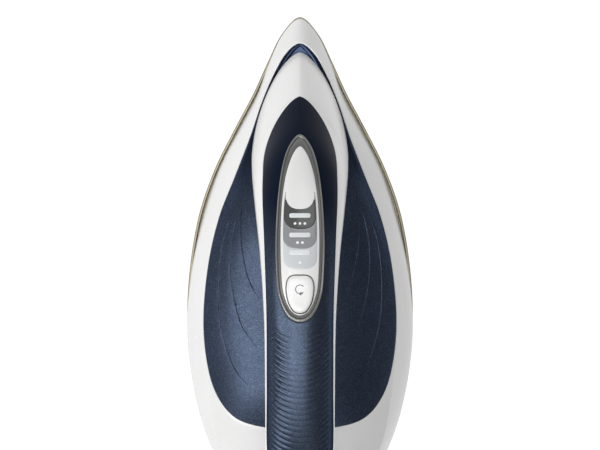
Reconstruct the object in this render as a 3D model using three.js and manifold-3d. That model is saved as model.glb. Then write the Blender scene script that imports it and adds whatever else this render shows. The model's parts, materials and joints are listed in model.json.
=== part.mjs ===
// The handset of a steam-generator clothes iron, as an assembly of separate solids.
// Millimetres, +Z up, +Y towards the nose. The origin is the middle of the footprint, on the ironing plane.

import * as THREE from "three";
import { mergeVertices } from "three/addons/utils/BufferGeometryUtils.js";
import Module from "manifold-3d";

const wasm = await Module();
wasm.setup();

// ---------------------------------------------------------------- driving dimensions

const HALF_LENGTH = 138; // nose of the soleplate to the heel pads is twice this
const WALL = 2.4; // moulded shell thickness
const GAP = 0.3; // clearance between neighbouring pieces
const SKIRT_Z = 7; // bottom edge of the white skirt
const SOLE_RIM_Z = 6.4; // top edge of the soleplate's turned-up rim
const CREASE_Z = 27.8; // height of the skirt's top edge at the middle of the iron
const CREASE_RISE = 0.058; // how fast that edge climbs towards the heel
const DECK_CROWN = 20; // how far the body cover domes above the skirt's top edge
const SKIRT_BULGE = 1.2; // outward swell of the skirt's side
const REAR_POWER = 2.2; // superellipse power of the finger side of the handle
const HINGE = { y: -9, z: 114.6 }; // steam trigger's pivot
const BOARD = { y: -3, z: 129.55, length: 56, width: 17, thickness: 1.6, tilt: -0.218 };
const BOARD_SCREW_Y = -28;
const GLAND = { y: -117.2, z: 119.4, tilt: 0.733, radius: 10.5, bore: 5.2 };
const HEEL_SWELL = 3.4; // how far the heel cover stands out from the handle's rear column
const BUTTON_Y = -11.6;
const LAMP_Y = { high: 27.7, medium: 18.2, low: 9.7 };

// Right-hand halves of the closed plan outlines, nose to tail, as [x, y].
const SOLE_OUTLINE = [
  [0, 138], [10.2, 128.5], [18, 113], [26, 95.5], [36.6, 75.5], [47.4, 53.6], [56, 28.5], [61, -1],
  [62.4, -31], [59.5, -58], [52.5, -82], [41.5, -101], [27, -113], [12, -118.5], [0, -119.5],
];
const SKIRT_OUTLINE = [
  [0, 136.6], [9.6, 128], [17.2, 112], [23.6, 95], [32.8, 77], [44, 55], [53, 29], [59.6, -1],
  [62.2, -32], [59.4, -62], [52.8, -89], [42.8, -111], [30, -128], [16, -135], [0, -136],
];
const CREASE_OUTLINE = [
  [0, 122.4], [8, 117], [14.9, 104.8], [21.2, 90], [27.5, 71.2], [36, 49], [44.5, 27], [50.2, 1],
  [52.6, -30], [50.2, -58], [46.2, -85], [39, -107], [28, -124], [14.5, -132.4], [0, -134],
];
const COVER_OUTLINE = [
  [0, 121.5], [7.4, 116.1], [14.2, 104.2], [20.5, 89.4], [26.8, 70.8], [35.3, 48.7], [43.7, 26.7], [49.4, 1],
  [51.8, -28], [49.6, -52], [43.9, -68.8], [33.5, -80], [17, -84.3], [0, -84.8],
];
const BEZEL_OUTLINE = [
  [0, 68.6], [5.2, 63], [8.6, 52.5], [10.8, 36], [11.8, 14], [11, -6], [9.3, -14.6],
  [6.4, -20.6], [3.2, -23.4], [0, -24.2],
];
const SEAL_OUTLINE = [
  [0, 67], [4.6, 61.8], [7.8, 51.5], [9.8, 35.5], [10.7, 14], [9.9, -5.5], [8.1, -13.6],
  [5.4, -19], [2.7, -21.4], [0, -22.1],
];
const FASCIA_OUTLINE = [
  [0, 62.8], [3.4, 59], [6.2, 51.4], [8, 42.8], [9.2, 31], [9.6, 14], [8.9, -5], [7.2, -12.8], [4.8, -17.8],
  [2.4, -20], [0, -20.6],
];
const CHAMBER_OUTLINE = [
  [0, 84], [5, 78], [13, 60], [22, 35], [28.5, 5], [31, -30], [29.5, -56], [24, -72], [12, -78], [0, -79],
];
const ELEMENT_HALF = [
  [0, 101], [7.5, 94], [15, 80], [25, 57], [34, 33], [39.5, 3], [41, -30], [39, -60], [33, -88],
];
const BUTTON_OUTLINE = [
  [0, -1.5], [3.6, -1.7], [5.7, -3.4], [6.5, -6.8], [6.3, -10.6], [5.2, -15], [3.3, -18.2], [1.6, -19.3],
  [0, -19.6],
];

// The handle is a loop swept through these stations, nose foot to heel foot: a point on the outer profile
// and one on the finger side as [y, z], the half width, the front power of the superellipse, and the share
// of the section above which the grip cover takes over from the frame.
const HANDLE = [
  { outer: [119.8, 16], inner: [9, 16], half: 26, power: 1.6, split: 1.9 },
  { outer: [103.6, 47], inner: [11, 50], half: 25.6, power: 1.5, split: 1.7 },
  { outer: [82, 79], inner: [10, 77], half: 24.2, power: 1.6, split: 0.66 },
  { outer: [58, 107], inner: [4, 96], half: 22.3, power: 1.9, split: 0.5 },
  { outer: [22, 130], inner: [-10, 106.5], half: 19.6, power: 2.3, split: 0.5 },
  { outer: [-18, 139], inner: [-30, 110], half: 17.7, power: 2.3, split: 0.43 },
  { outer: [-56, 141], inner: [-56, 110.5], half: 17.2, power: 2.3, split: 0.38 },
  { outer: [-92, 136], inner: [-82, 107], half: 17.2, power: 2.3, split: 0.42 },
  { outer: [-119, 121], inner: [-100, 93], half: 18.6, power: 2.3, split: 1.5 },
  { outer: [-129, 92], inner: [-106, 72], half: 20.5, power: 2.5, split: 1.9 },
  { outer: [-131.5, 58], inner: [-107, 50], half: 23, power: 2.7, split: 1.9 },
  { outer: [-132, 22], inner: [-106, 18], half: 26, power: 2.8, split: 1.9 },
];

// ---------------------------------------------------------------- materials

const finish = (color, roughness, metalness) =>
  new THREE.MeshStandardMaterial({ color, roughness, metalness });
const plastic = (color, roughness = 0.35) => finish(color, roughness, 0);
const metal = (color, roughness = 0.4) => finish(color, roughness, 1);
const WHITE = plastic("#ecedee");
const NAVY = plastic("#1b2740", 0.42);
const DARK_GREY = plastic("#5b5d5c", 0.4);
const MID_GREY = plastic("#8b8d8e", 0.4);
const LIGHT_GREY = plastic("#c6c9ca", 0.4);
const BLACK = plastic("#1c1c1e", 0.6);
const RUBBER = plastic("#34373c", 0.85);
const SILICONE = plastic("#b9583b", 0.7);
const CLEAR = plastic("#c9cccb", 0.12);
const CIRCUIT = plastic("#1f5a3a", 0.5);
const BRONZE = metal("#8c8468", 0.3);
const CAST = metal("#b4b6b8", 0.55);
const STEEL = metal("#c3c6c9", 0.3);
const BRASS = metal("#b9974f", 0.35);

// ---------------------------------------------------------------- solids

/** A closed mesh as a solid, with its shared vertices merged and its faces pointing out. */
function solid(geometry) {
  const bare = new THREE.BufferGeometry().setAttribute("position", geometry.getAttribute("position"));
  bare.setIndex(geometry.index);
  const merged = mergeVertices(bare, 1e-4);
  const corners = [];
  for (let i = 0; i < merged.index.count; i += 3) {
    const [a, b, c] = [0, 1, 2].map((k) => merged.index.getX(i + k));
    if (a !== b && b !== c && c !== a) corners.push(a, b, c);
  }
  const build = (triVerts) =>
    new wasm.Manifold(
      new wasm.Mesh({
        numProp: 3,
        vertProperties: new Float32Array(merged.attributes.position.array),
        triVerts: new Uint32Array(triVerts),
      }),
    );
  const made = build(corners);
  return made.volume() < 0 ? build(corners.reverse()) : made;
}

const group = new THREE.Group();

/** Adds a finished solid to the object as a named mesh. */
function add(name, body, material) {
  const mesh = body.getMesh();
  const geometry = new THREE.BufferGeometry();
  geometry.setAttribute("position", new THREE.BufferAttribute(new Float32Array(mesh.vertProperties), 3));
  geometry.setIndex(new THREE.BufferAttribute(new Uint32Array(mesh.triVerts), 1));
  geometry.computeVertexNormals();
  const part = new THREE.Mesh(geometry, material);
  part.name = name;
  group.add(part);
}

/** Moves every vertex of a geometry by a function of its place. */
function shaped(geometry, move) {
  const places = geometry.getAttribute("position");
  for (let i = 0; i < places.count; i++) {
    places.setXYZ(i, ...move(places.getX(i), places.getY(i), places.getZ(i)));
  }
  return solid(geometry);
}

const mix = (a, b, share) => a + (b - a) * share;

/** A right-hand half outline as a smooth closed ring, which can grow outwards: 0 is its nose, 1 its tail. */
function ring(half) {
  const right = half.map(([x, y]) => new THREE.Vector3(x, y, 0));
  const left = half.slice(1, -1).reverse().map(([x, y]) => new THREE.Vector3(-x, y, 0));
  const curve = new THREE.CatmullRomCurve3([...right, ...left], true, "catmullrom", 0.5);
  const tail = (right.length - 1) / (right.length + left.length);
  const at = (u) => curve.getPoint((((u * tail) % 1) + 1) % 1);
  return (u, grow = 0) => {
    const [before, after] = [at(u - 0.002), at(u + 0.002)];
    const along = after.sub(before).normalize();
    const place = at(u);
    return [place.x - along.y * grow, place.y + along.x * grow];
  };
}

/** The whole closed outline as points, steps of them on each side. */
function outline(edge, grow, steps) {
  const right = Array.from({ length: steps + 1 }, (_, i) => edge(i / steps, grow));
  right[0][0] = 0;
  right[steps][0] = 0;
  return [...right, ...right.slice(1, -1).reverse().map(([x, y]) => [-x, y])];
}

/** A vertical prism on an outline of [x, y] points. */
function prism(points, low, high) {
  const shape = new THREE.Shape(points.map(([x, y]) => new THREE.Vector2(x, y)));
  const geometry = new THREE.ExtrudeGeometry(shape, { depth: high - low, bevelEnabled: false });
  return solid(geometry.translate(0, 0, low));
}

/** A side profile of [y, z] points, extruded across X between two planes. */
function slab(points, left, right) {
  const shape = new THREE.Shape(points.map(([y, z]) => new THREE.Vector2(y, z)));
  const geometry = new THREE.ExtrudeGeometry(shape, { depth: right - left, bevelEnabled: false });
  geometry.rotateY(Math.PI / 2).rotateX(Math.PI / 2);
  return solid(geometry.translate(left, 0, 0));
}

function block(x, y, z, sizeX, sizeY, sizeZ, tilt = 0) {
  return solid(new THREE.BoxGeometry(sizeX, sizeY, sizeZ).rotateX(tilt).translate(x, y, z));
}

/** An upright cylinder standing on z, leaned by tilt about X. */
function rod(x, y, z, radius, height, sides = 12, tilt = 0) {
  const geometry = new THREE.CylinderGeometry(radius, radius, height, sides);
  return solid(geometry.rotateX(Math.PI / 2).translate(0, 0, height / 2).rotateX(tilt).translate(x, y, z));
}

/** A closed profile of [radius, height] turned about Z. */
function turned(x, y, z, profile, sides = 12, tilt = 0) {
  const points = profile.map(([radius, height]) => new THREE.Vector2(radius, height));
  const geometry = new THREE.LatheGeometry(points, sides);
  return solid(geometry.rotateX(Math.PI / 2).rotateX(tilt).translate(x, y, z));
}

/** A round tube along a smooth path of [x, y, z] points. */
function tube(points, radius, steps, sides = 8) {
  const path = new THREE.CatmullRomCurve3(points.map((p) => new THREE.Vector3(...p)));
  const section = new THREE.Shape();
  section.absarc(0, 0, radius, 0, 2 * Math.PI, false);
  const settings = { steps, extrudePath: path, bevelEnabled: false, curveSegments: sides / 2 };
  return solid(new THREE.ExtrudeGeometry(section, settings));
}

/** A pan-head screw, its head's underside at z, its shank pointing down. */
function screw(x, y, z, shank) {
  const profile = [[0, -shank], [1.3, -shank], [1.3, 0], [3, 0], [3, 1.2], [1.6, 2.2], [0, 2.2]];
  return turned(x, y, z, profile, 10);
}

// ---------------------------------------------------------------- the body's surfaces

const soleEdge = ring(SOLE_OUTLINE);
const skirtEdge = ring(SKIRT_OUTLINE);
const creaseEdge = ring(CREASE_OUTLINE);
const coverEdge = ring(COVER_OUTLINE);

const creaseZ = (y) => CREASE_Z - CREASE_RISE * y;

/** Half the width of the skirt's top edge at y. */
function creaseHalf(y) {
  let [low, high] = [0, 1];
  for (let i = 0; i < 24; i++) {
    const middle = (low + high) / 2;
    if (creaseEdge(middle)[1] > y) low = middle;
    else high = middle;
  }
  return Math.max(creaseEdge(low)[0], 0.5);
}

/** Height of the domed deck over a point of the plan. */
function deckZ(x, y) {
  const across = Math.min(1, Math.abs(x) / creaseHalf(y));
  const nose = THREE.MathUtils.smoothstep(118 - y, 0, 108);
  const heel = 1 - THREE.MathUtils.smoothstep(-y, 60, 136);
  return creaseZ(y) + DECK_CROWN * nose * heel * (1 - across ** 2.4);
}

/** The skirt's side wall at a level from 0, its bottom edge, to 1, the crease. */
function skirtWall(u, level, grow) {
  const [bottom, top] = [skirtEdge(u, grow), creaseEdge(u, grow)];
  const swell = 1 + (SKIRT_BULGE * 4 * level * (1 - level)) / 60;
  return [mix(bottom[0], top[0], level) * swell, mix(bottom[1], top[1], level)];
}

/** The whole lower body as one solid, grown outwards, down to floor. */
function bodyBlank(grow, floor) {
  const levels = 3;
  const least = 0.6;
  return shaped(new THREE.BoxGeometry(2, 1, 1, 8, 24, levels), (side, along, height) => {
    const level = height + 0.5;
    const u = 0.5 - along;
    const [half, y] = skirtWall(u, level, grow);
    const x = Math.sign(side) * Math.abs(side) ** 0.6 * Math.max(half, least);
    const top = level > 0.99 ? deckZ(x * (1 - grow / 60), y) : mix(SKIRT_Z, creaseZ(y), level);
    return [x, y, level < 0.01 ? floor : top + (level > 0.5 ? grow : 0)];
  });
}

const bodySolid = bodyBlank(0, SKIRT_Z);
const bodyShell = bodySolid.subtract(bodyBlank(-WALL, SKIRT_Z - 5));
const bodyKeepOut = bodyBlank(GAP, SKIRT_Z - 5);

// ---------------------------------------------------------------- the handle's surfaces

const smooth = (points) => new THREE.CatmullRomCurve3(points, false, "catmullrom", 0.5);
const outerProfile = smooth(HANDLE.map((s) => new THREE.Vector3(0, ...s.outer)));
const innerProfile = smooth(HANDLE.map((s) => new THREE.Vector3(0, ...s.inner)));
const sectionShape = smooth(HANDLE.map((s) => new THREE.Vector3(s.half, s.power, s.split)));

/** The handle's section at a station number, whole or between two. */
function station(t) {
  const share = t / (HANDLE.length - 1);
  const [outer, inner] = [outerProfile.getPoint(share), innerProfile.getPoint(share)];
  const shape = sectionShape.getPoint(share);
  const arm = outer.clone().sub(inner).multiplyScalar(0.5);
  return {
    centre: outer.add(inner).multiplyScalar(0.5),
    reach: arm.length(),
    arm: arm.normalize(),
    half: shape.x,
    power: shape.y,
    split: shape.z,
  };
}

/** A point of a section: across in millimetres, and up along the section's arm. */
const onSection = (s, across, up) => [across, s.centre.y + s.arm.y * up, s.centre.z + s.arm.z * up];

/** The handle as a solid loop between two stations, grown outwards. */
function handleBlank(grow, from = 0, to = HANDLE.length - 1, sides = 16, steps = 24) {
  return shaped(new THREE.CylinderGeometry(1, 1, 1, sides, steps), (x, y, z) => {
    const s = station(mix(from, to, 0.5 - y));
    const [cos, sin] = [z, x];
    const power = 2 / (cos > 0 ? s.power : REAR_POWER);
    const up = Math.sign(cos) * Math.abs(cos) ** power * (s.reach + grow);
    return onSection(s, Math.sign(sin) * Math.abs(sin) ** power * (s.half + grow), up);
  });
}

/** A band that follows the handle: a section gives its half width, wide, and its levels, lowUp and highUp. */
function handleBand(from, to, steps, wide, lowUp, highUp) {
  return shaped(new THREE.BoxGeometry(2, 1, 1, 1, steps, 1), (side, along, level) => {
    const s = station(mix(from, to, 0.5 - along));
    return onSection(s, side * wide(s), level > 0 ? highUp(s) : lowUp(s));
  });
}

const handleShell = handleBlank(0).subtract(handleBlank(-WALL));

/** The region of the grip cover, shrunk or grown by lower. */
const gripRegion = (lower) =>
  handleBand(1.2, 7.8, 16, (s) => s.half + 4, (s) => s.split * s.reach - lower, (s) => s.reach * 1.5 + 9);

/** The region of the lining on the finger side. */
function liningRegion(grow) {
  const wide = (s) => 0.68 * s.half + grow;
  const ends = grow / 20;
  return handleBand(1 - ends, 9.9 + ends, 20, wide, (s) => -s.reach - 4, (s) => grow - 0.55 * s.reach);
}

// ---------------------------------------------------------------- soleplate and heater

/** A tray or plate that follows the soleplate's outline, as rings of [inset, z] from the bottom up. */
function soleSolid(rings) {
  const levels = rings.length - 1;
  return shaped(new THREE.BoxGeometry(2, 1, 1, 1, 24, levels), (side, along, height) => {
    const [inset, z] = rings[Math.round((height + 0.5) * levels)];
    const [half, y] = soleEdge(0.5 - along, -inset);
    return [side * Math.max(half, 0.6), y, z];
  });
}

/** Places of the steam holes: two rows that follow the nose's outline, and a fan towards the middle. */
function steamHoles() {
  const places = [];
  for (const [inset, from, to, count] of [[14, 0.12, 0.5, 9], [24, 0.24, 0.47, 5]]) {
    for (let i = 0; i < count; i++) {
      const [x, y] = soleEdge(mix(from, to, i / (count - 1)), -inset);
      places.push([x, y], [-x, y]);
    }
  }
  return [...places, [0, 112], [0, 98], [0, 84]];
}

const holes = steamHoles().map(([x, y]) => rod(x, y, -5, 1.5, 12, 6));
const soleOuter = soleSolid([[4.2, 0], [1.4, 0.9], [0.2, 3], [0, SOLE_RIM_Z]]);
const soleInner = soleSolid([[4.6, 1.4], [1.6, 2.4], [1.4, SOLE_RIM_Z + 1]]);
add("sole_plate", holes.reduce((plate, hole) => plate.subtract(hole), soleOuter.subtract(soleInner)), BRONZE);

const CASTING_TOP = 12.5;
const SHIELD_Z = 14.6;
const SHIELD_SCREWS = [["front", 0, 109], ["rear_left", -17, -98], ["rear_right", 17, -98]];
const LID_SCREWS = [
  ["front_left", -13.4, 67], ["front_right", 13.4, 67], ["rear_left", -29, -66], ["rear_right", 29, -66],
];
const [TERMINAL_X, TERMINAL_Y] = ELEMENT_HALF[ELEMENT_HALF.length - 1];
const chamberEdge = ring(CHAMBER_OUTLINE);
const chamberPlan = (grow, low, high) => prism(outline(chamberEdge, grow, 12), low, high);

/** The U of the heating element at a height: left tail, nose, right tail. */
function elementPath(z) {
  const left = ELEMENT_HALF.slice(1).reverse().map(([x, y]) => [-x, y, z]);
  return [...left, ...ELEMENT_HALF.map(([x, y]) => [x, y, z])];
}

const element = tube(elementPath(9.2), 3.2, 32);
const groove = tube(elementPath(9.2), 3.6, 32).add(tube(elementPath(12.4), 3.6, 32));
const sockets = SHIELD_SCREWS.map(([, x, y]) => rod(x, y, 7, 1.7, 10, 8));
const casting = [groove, chamberPlan(0, 5, 20), ...sockets].reduce(
  (body, cut) => body.subtract(cut),
  soleSolid([[5.2, 1.8], [5.2, 3], [7.2, 6.5], [11, CASTING_TOP]]),
);
add("heater_casting", casting, CAST);
add("heating_element", element, STEEL);

for (const [name, side] of [["left", -1], ["right", 1]]) {
  const profile = [[0, 0], [2.6, 0], [2.6, 2.4], [1.2, 2.4], [1.2, 6], [0, 6]];
  add("element_terminal_" + name, turned(side * TERMINAL_X, TERMINAL_Y, 12.8, profile, 8), BRASS);
}

add("chamber_seal", chamberPlan(4.2, 12.8, 13.8).subtract(chamberPlan(0.8, 12, 15)), SILICONE);
const spigot = turned(0, -52, 15.8, [[2, -3], [3.6, -3], [3.6, 4.2], [2, 4.2], [2, -3]]);
const lid = chamberPlan(4.5, 14.1, 16).subtract(rod(0, -52, 10, 2.8, 10));
add("steam_chamber_lid", lid.add(spigot), CAST);

const elbowPath = [[0, -52, 20.6], [0, -52, 26], [0, -55, 29.4], [0, -60, 30.6], [0, -70, 30.6]];
add("steam_inlet_elbow", tube(elbowPath, 3.6, 8), BRASS);

for (const [name, x, y] of LID_SCREWS) {
  add("lid_screw_" + name, screw(x, y, 16.3, 0.2), STEEL);
}

add("temperature_sensor", block(16, 8, 19.4, 9, 15, 6.2), STEEL);
add("thermal_fuse", tube([[-18, -4, 18.9], [-18, 8, 18.9], [-18, 18, 18.9]], 2.4, 3), CLEAR);

const terminalHoles = [-1, 1].map((side) => rod(side * TERMINAL_X, TERMINAL_Y, 10, 4.6, 20, 10));
const shield = [...SHIELD_SCREWS.map(([, x, y]) => rod(x, y, 10, 1.8, 20, 8)), ...terminalHoles].reduce(
  (plate, hole) => plate.subtract(hole),
  prism(outline(creaseEdge, -3.4, 14), SHIELD_Z, SHIELD_Z + 1.4).subtract(chamberPlan(6, 10, 30)),
);
add("heat_shield", shield, BLACK);
for (const [name, x, y] of SHIELD_SCREWS) {
  add("shield_screw_" + name, screw(x, y, SHIELD_Z + 1.7, 8.6), STEEL);
}

// ---------------------------------------------------------------- skirt and body cover

const ductHole = (grow) => block(0, -117.5, 50, 26 + grow, 14 + grow, 60);
const coverPlan = (grow) => prism(outline(coverEdge, grow, 24), SKIRT_Z + 8, 70);
add("skirt_shell", bodyShell.subtract(coverPlan(GAP)).subtract(ductHole(0)), WHITE);
add("body_cover", bodyShell.intersect(coverPlan(0)), NAVY);

const heelFloor = prism(outline(skirtEdge, -WALL - 2, 24), SKIRT_Z + 0.2, SKIRT_Z + 2.2)
  .subtract(prism(outline(soleEdge, -6.5, 24), 0, 20))
  .subtract(block(0, 60, 10, 200, 220, 40));
add("heel_floor", heelFloor, BLACK);

// ---------------------------------------------------------------- handle

const panelPrism = (half, grow) => prism(outline(ring(half), grow, 12), 90, 150);
const panelHole = panelPrism(BEZEL_OUTLINE, GAP);
const glandHole = rod(0, GLAND.y, GLAND.z, GLAND.radius + GAP, 30, 20, GLAND.tilt);
const glandBore = glandHole.translate([0, 20 * Math.sin(GLAND.tilt), -20 * Math.cos(GLAND.tilt)]);
const triggerHole = block(0, -30.1, 106, 18.4, 49.8, 22);
const heelSeat = block(0, -131, 62, 32 + 2 * GAP, 14, 46 + 2 * GAP);

const frame = handleShell
  .subtract(gripRegion(GAP))
  .subtract(liningRegion(GAP))
  .subtract(bodyKeepOut)
  .subtract(glandHole.add(glandBore))
  .subtract(heelSeat);
add("handle_frame", frame, WHITE);

/** A place over the control board's top face at y, raised square to the board. */
const onBoard = (y, raised) => [
  0,
  y - Math.sin(BOARD.tilt) * raised,
  BOARD.z + Math.tan(BOARD.tilt) * (y - BOARD.y) + Math.cos(BOARD.tilt) * raised,
];

/** A round bar across the handle on the trigger's pivot. */
function pinAlongX(radius, length) {
  const bar = new THREE.CylinderGeometry(radius, radius, length, 12).rotateZ(Math.PI / 2);
  return solid(bar.translate(0, HINGE.y, HINGE.z));
}

const ears = block(0, HINGE.y, 113.6, 23, 7, 8.4).subtract(block(0, HINGE.y, 113, 19, 9, 20));
const corners = [[-10.3, -17], [10.3, -17], [-10.3, -45], [10.3, -45]];
const posts = corners.map(([x, y]) => rod(x, y, 112.6, 1.1, 8.2, 6));
const lining = [ears, ...posts]
  .reduce((body, piece) => body.add(piece), handleShell.intersect(liningRegion(0)))
  .subtract(bodyKeepOut)
  .subtract(triggerHole)
  .subtract(pinAlongX(1.8, 30));
add("handle_lining", lining, LIGHT_GREY);
const boardBoss = rod(...onBoard(BOARD_SCREW_Y, GAP), 2.8, 7, 8, BOARD.tilt).intersect(handleBlank(-1));
const boardHole = rod(...onBoard(BOARD_SCREW_Y, -5), 1.4, 8, 8, BOARD.tilt);
const gripCover = handleShell.intersect(gripRegion(0)).add(boardBoss).subtract(panelHole).subtract(boardHole);
add("grip_cover", gripCover, NAVY);

// ---------------------------------------------------------------- control panel

const panelTop = handleBand(2, 6, 8, () => 15, (s) => 0.2 * s.reach, (s) => s.reach * 1.5 + 9);

/** A layer of the handle's upper surface: from below to above it, in millimetres. */
const skinBetween = (below, above) =>
  handleBlank(above, 2, 6, 16, 12).subtract(handleBlank(below, 1.8, 6.2, 16, 14)).intersect(panelTop);
const skins = {
  bezel: skinBetween(-2.6, 0.9),
  seal: skinBetween(-2.4, 0.3),
  fascia: skinBetween(-2.2, 0),
  button: skinBetween(-2.6, 1),
};
const ringOf = (skin, outer, inner) => skin.intersect(panelPrism(outer, 0)).subtract(panelPrism(inner, GAP));
add("panel_bezel", ringOf(skins.bezel, BEZEL_OUTLINE, SEAL_OUTLINE), CLEAR);
add("panel_seal", ringOf(skins.seal, SEAL_OUTLINE, FASCIA_OUTLINE), DARK_GREY);

const LEVELS = [["high", 20.8, DARK_GREY], ["medium", 11.2, MID_GREY], ["low", 1.4, LIGHT_GREY]];

/** A tongue-shaped zone of the fascia, from the top down to its round end at y. */
function tongue(y, grow) {
  const [half, depth] = [9 + grow, 7 + grow];
  const end = Array.from({ length: 9 }, (_, i) => {
    const angle = Math.PI * (1 + i / 8);
    return [half * Math.cos(angle), y + 7 + depth * Math.sin(angle)];
  });
  return prism([[-half, 60], ...end, [half, 60]], 90, 150);
}

const buttonHole = panelPrism(BUTTON_OUTLINE, GAP);
let above = tongue(30.9, 0);
const zones = LEVELS.map(([name, y, material]) => {
  const whole = tongue(y, 0);
  const zone = { name, material, body: whole.subtract(above) };
  above = above.add(tongue(y, GAP));
  return zone;
});
const lampBar = (y, grow) => block(0, y, 130, 10.4 + grow, 2.3 + grow, 40);
const fasciaPlan = panelPrism(FASCIA_OUTLINE, 0);
const zonesKeepOut = tongue(LEVELS[2][1], GAP)
  .subtract(tongue(30.9, -GAP))
  .intersect(panelPrism(FASCIA_OUTLINE, GAP - 1.2));
add("panel_fascia", skins.fascia.intersect(fasciaPlan).subtract(zonesKeepOut).subtract(buttonHole), WHITE);
const zonePlan = panelPrism(FASCIA_OUTLINE, -1.2);
for (const { name, material, body } of zones) {
  const window = skins.fascia.intersect(body).intersect(zonePlan);
  add("level_window_" + name, window.subtract(lampBar(LAMP_Y[name], 2 * GAP)), material);
  add("level_lamp_" + name, skins.seal.intersect(lampBar(LAMP_Y[name], 0)), LIGHT_GREY);
}
add("mode_button", skins.button.intersect(panelPrism(BUTTON_OUTLINE, 0)), WHITE);

// ---------------------------------------------------------------- control board

const onto = (y, raised, ...size) => block(...onBoard(y, raised), ...size, BOARD.tilt);
const board = onto(BOARD.y, -BOARD.thickness / 2, BOARD.width, BOARD.length, BOARD.thickness);
add("control_board", board.subtract(boardHole), CIRCUIT);
const boardScrew = [[0, -3.8], [2.4, -3.8], [2.4, -1.9], [1.1, -1.9], [1.1, 2.6], [0, 2.6]];
add("board_screw", turned(...onBoard(BOARD_SCREW_Y, 0), boardScrew, 10, BOARD.tilt), STEEL);
for (const name of ["medium", "low"]) add("indicator_led_" + name, onto(LAMP_Y[name], 1.2, 3, 2, 1.2), WHITE);
const tactWell = rod(...onBoard(BUTTON_Y, 1.1), 2.1, 4, 8, BOARD.tilt);
add("tact_switch", onto(BUTTON_Y, 1.5, 6, 6, 2.2).subtract(tactWell), BLACK);
add("tact_stem", rod(...onBoard(BUTTON_Y, 2.1), 1.7, 1.4, 8, BOARD.tilt), BRASS);

// ---------------------------------------------------------------- steam trigger and its switch

const triggerProfile = [
  [-6.6, 112], [-12, 107.6], [-22, 105], [-34, 104.2], [-46, 105.2], [-52.4, 108], [-52.4, 112.4],
  [-50, 113.6], [-27.6, 113.6], [-26, 117.6], [-22, 117.6], [-20.4, 113.6], [-13.5, 113.9], [-12.2, 116.8],
  [-9, 118], [-6.2, 116.6],
];
add("steam_trigger", slab(triggerProfile, -8.6, 8.6).subtract(pinAlongX(1.8, 30)), LIGHT_GREY);
add("trigger_pin", pinAlongX(1.5, 22.6), STEEL);

const bracketPlate = block(0, -31, 121.8, 24, 36, 1.4).subtract(block(0, -26, 121.8, 7.2, 20.8, 4));
add("switch_bracket", bracketPlate, BLACK);
add("micro_switch", block(0, -26, 124.2, 6.4, 20, 9).subtract(rod(0, -24, 118, 1.2, 5, 8)), BLACK);
add("switch_plunger", rod(0, -24, 117.95, 0.9, 2.6, 8), BRASS);

/** A coil spring standing on z. */
function spring(x, y, z, radius, wire, height, turns) {
  const steps = 8 * turns;
  const points = Array.from({ length: steps + 1 }, (_, i) => {
    const angle = (i / 8) * 2 * Math.PI;
    return [x + radius * Math.cos(angle), y + radius * Math.sin(angle), z + (height * i) / steps];
  });
  return tube(points, wire / 2, 8 * turns, 6);
}
add("trigger_spring", spring(0, -43.5, 114.5, 2.6, 0.9, 5.9, 4), STEEL);

// ---------------------------------------------------------------- heel, gland and what runs inside

const heelScrewAt = (x, grow) =>
  solid(new THREE.CylinderGeometry(2.4 + grow, 2.4 + grow, 12, 12).translate(x, -128 + grow, 79));
const heelScrews = [["left", -9], ["right", 9]];
const heelCover = heelScrews.reduce(
  (plate, [, x]) => plate.subtract(heelScrewAt(x, GAP)),
  handleBlank(HEEL_SWELL).intersect(block(0, -131, 62, 32, 14, 46)).subtract(handleBlank(-WALL)),
);
add("heel_cover", heelCover, LIGHT_GREY);
for (const [name, x] of heelScrews) add("heel_screw_" + name, heelScrewAt(x, 0), STEEL);
const heelPad = (z, wide, tall) => block(0, 3.5 - HALF_LENGTH, z, wide, 7, tall);
add("heel_pad_upper", heelPad(64, 24, 9).subtract(handleBlank(HEEL_SWELL + GAP)), RUBBER);
add("heel_pad_lower", heelPad(16, 30, 9).subtract(bodyKeepOut), RUBBER);

const glandProfile = [
  [GLAND.bore, -12], [GLAND.radius - 3.4, -12], [GLAND.radius - 3.4, -3], [GLAND.radius, -3],
  [GLAND.radius, 6.5], [GLAND.radius - 1.5, 8], [GLAND.bore, 8], [GLAND.bore, -12],
];
add("hose_gland", turned(0, GLAND.y, GLAND.z, glandProfile, 20, GLAND.tilt), DARK_GREY);

const hosePath = [
  [-5, -108, 108], [-7, -110.5, 98], [-7, -115, 84], [-7, -118, 70], [-7, -118.5, 54], [-6, -117, 42],
  [-4, -109, 31.4], [-1, -96, 30], [0, -84, 30.6], [0, -70.4, 30.6],
];
add("steam_hose", tube(hosePath, 3, 30), SILICONE);
const loomPath = [[4.5, -108, 108], [7, -111, 98], [8, -116.5, 86], [8, -118, 80], [8, -118, 75.4]];
add("wire_loom", tube(loomPath, 2.2, 10), BLACK);
add("terminal_block", block(8, -118.5, 65, 12, 11, 20), WHITE);
for (const [name, side] of [["left", -1], ["right", 1]]) {
  const way = side > 0 ? [[11, -118, 42], [13, -115, 29]] : [[5, -120, 42], [3, -122, 30], [-10, -118, 22]];
  const path = [
    [way[0][0], -118.5, 54.7], ...way, [side * 28, -100, 23],
    [side * TERMINAL_X, TERMINAL_Y - 2, 24], [side * TERMINAL_X, TERMINAL_Y, 19.2],
  ];
  add("heater_lead_" + name, tube(path, 1.3, 14, 6), SILICONE);
}
const cablePath = [
  [0, -104, 117], [0, -92, 122], [0, -70, 127.5], [0, -52, 131], [0, -40, 133.4], [0, -31.6, 134.6],
];
add("board_cable", tube(cablePath, 1.6, 12, 6), BLACK);

export default group;
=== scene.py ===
"""Visual model of a steam iron's handset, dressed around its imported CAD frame.

Lengths are in millimetres until a mesh is finished, +Z is up and +Y points to the soleplate's nose.
"""

import json
import logging
import math
from dataclasses import dataclass, field
from enum import Enum
from typing import Callable, Optional, Sequence

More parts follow.
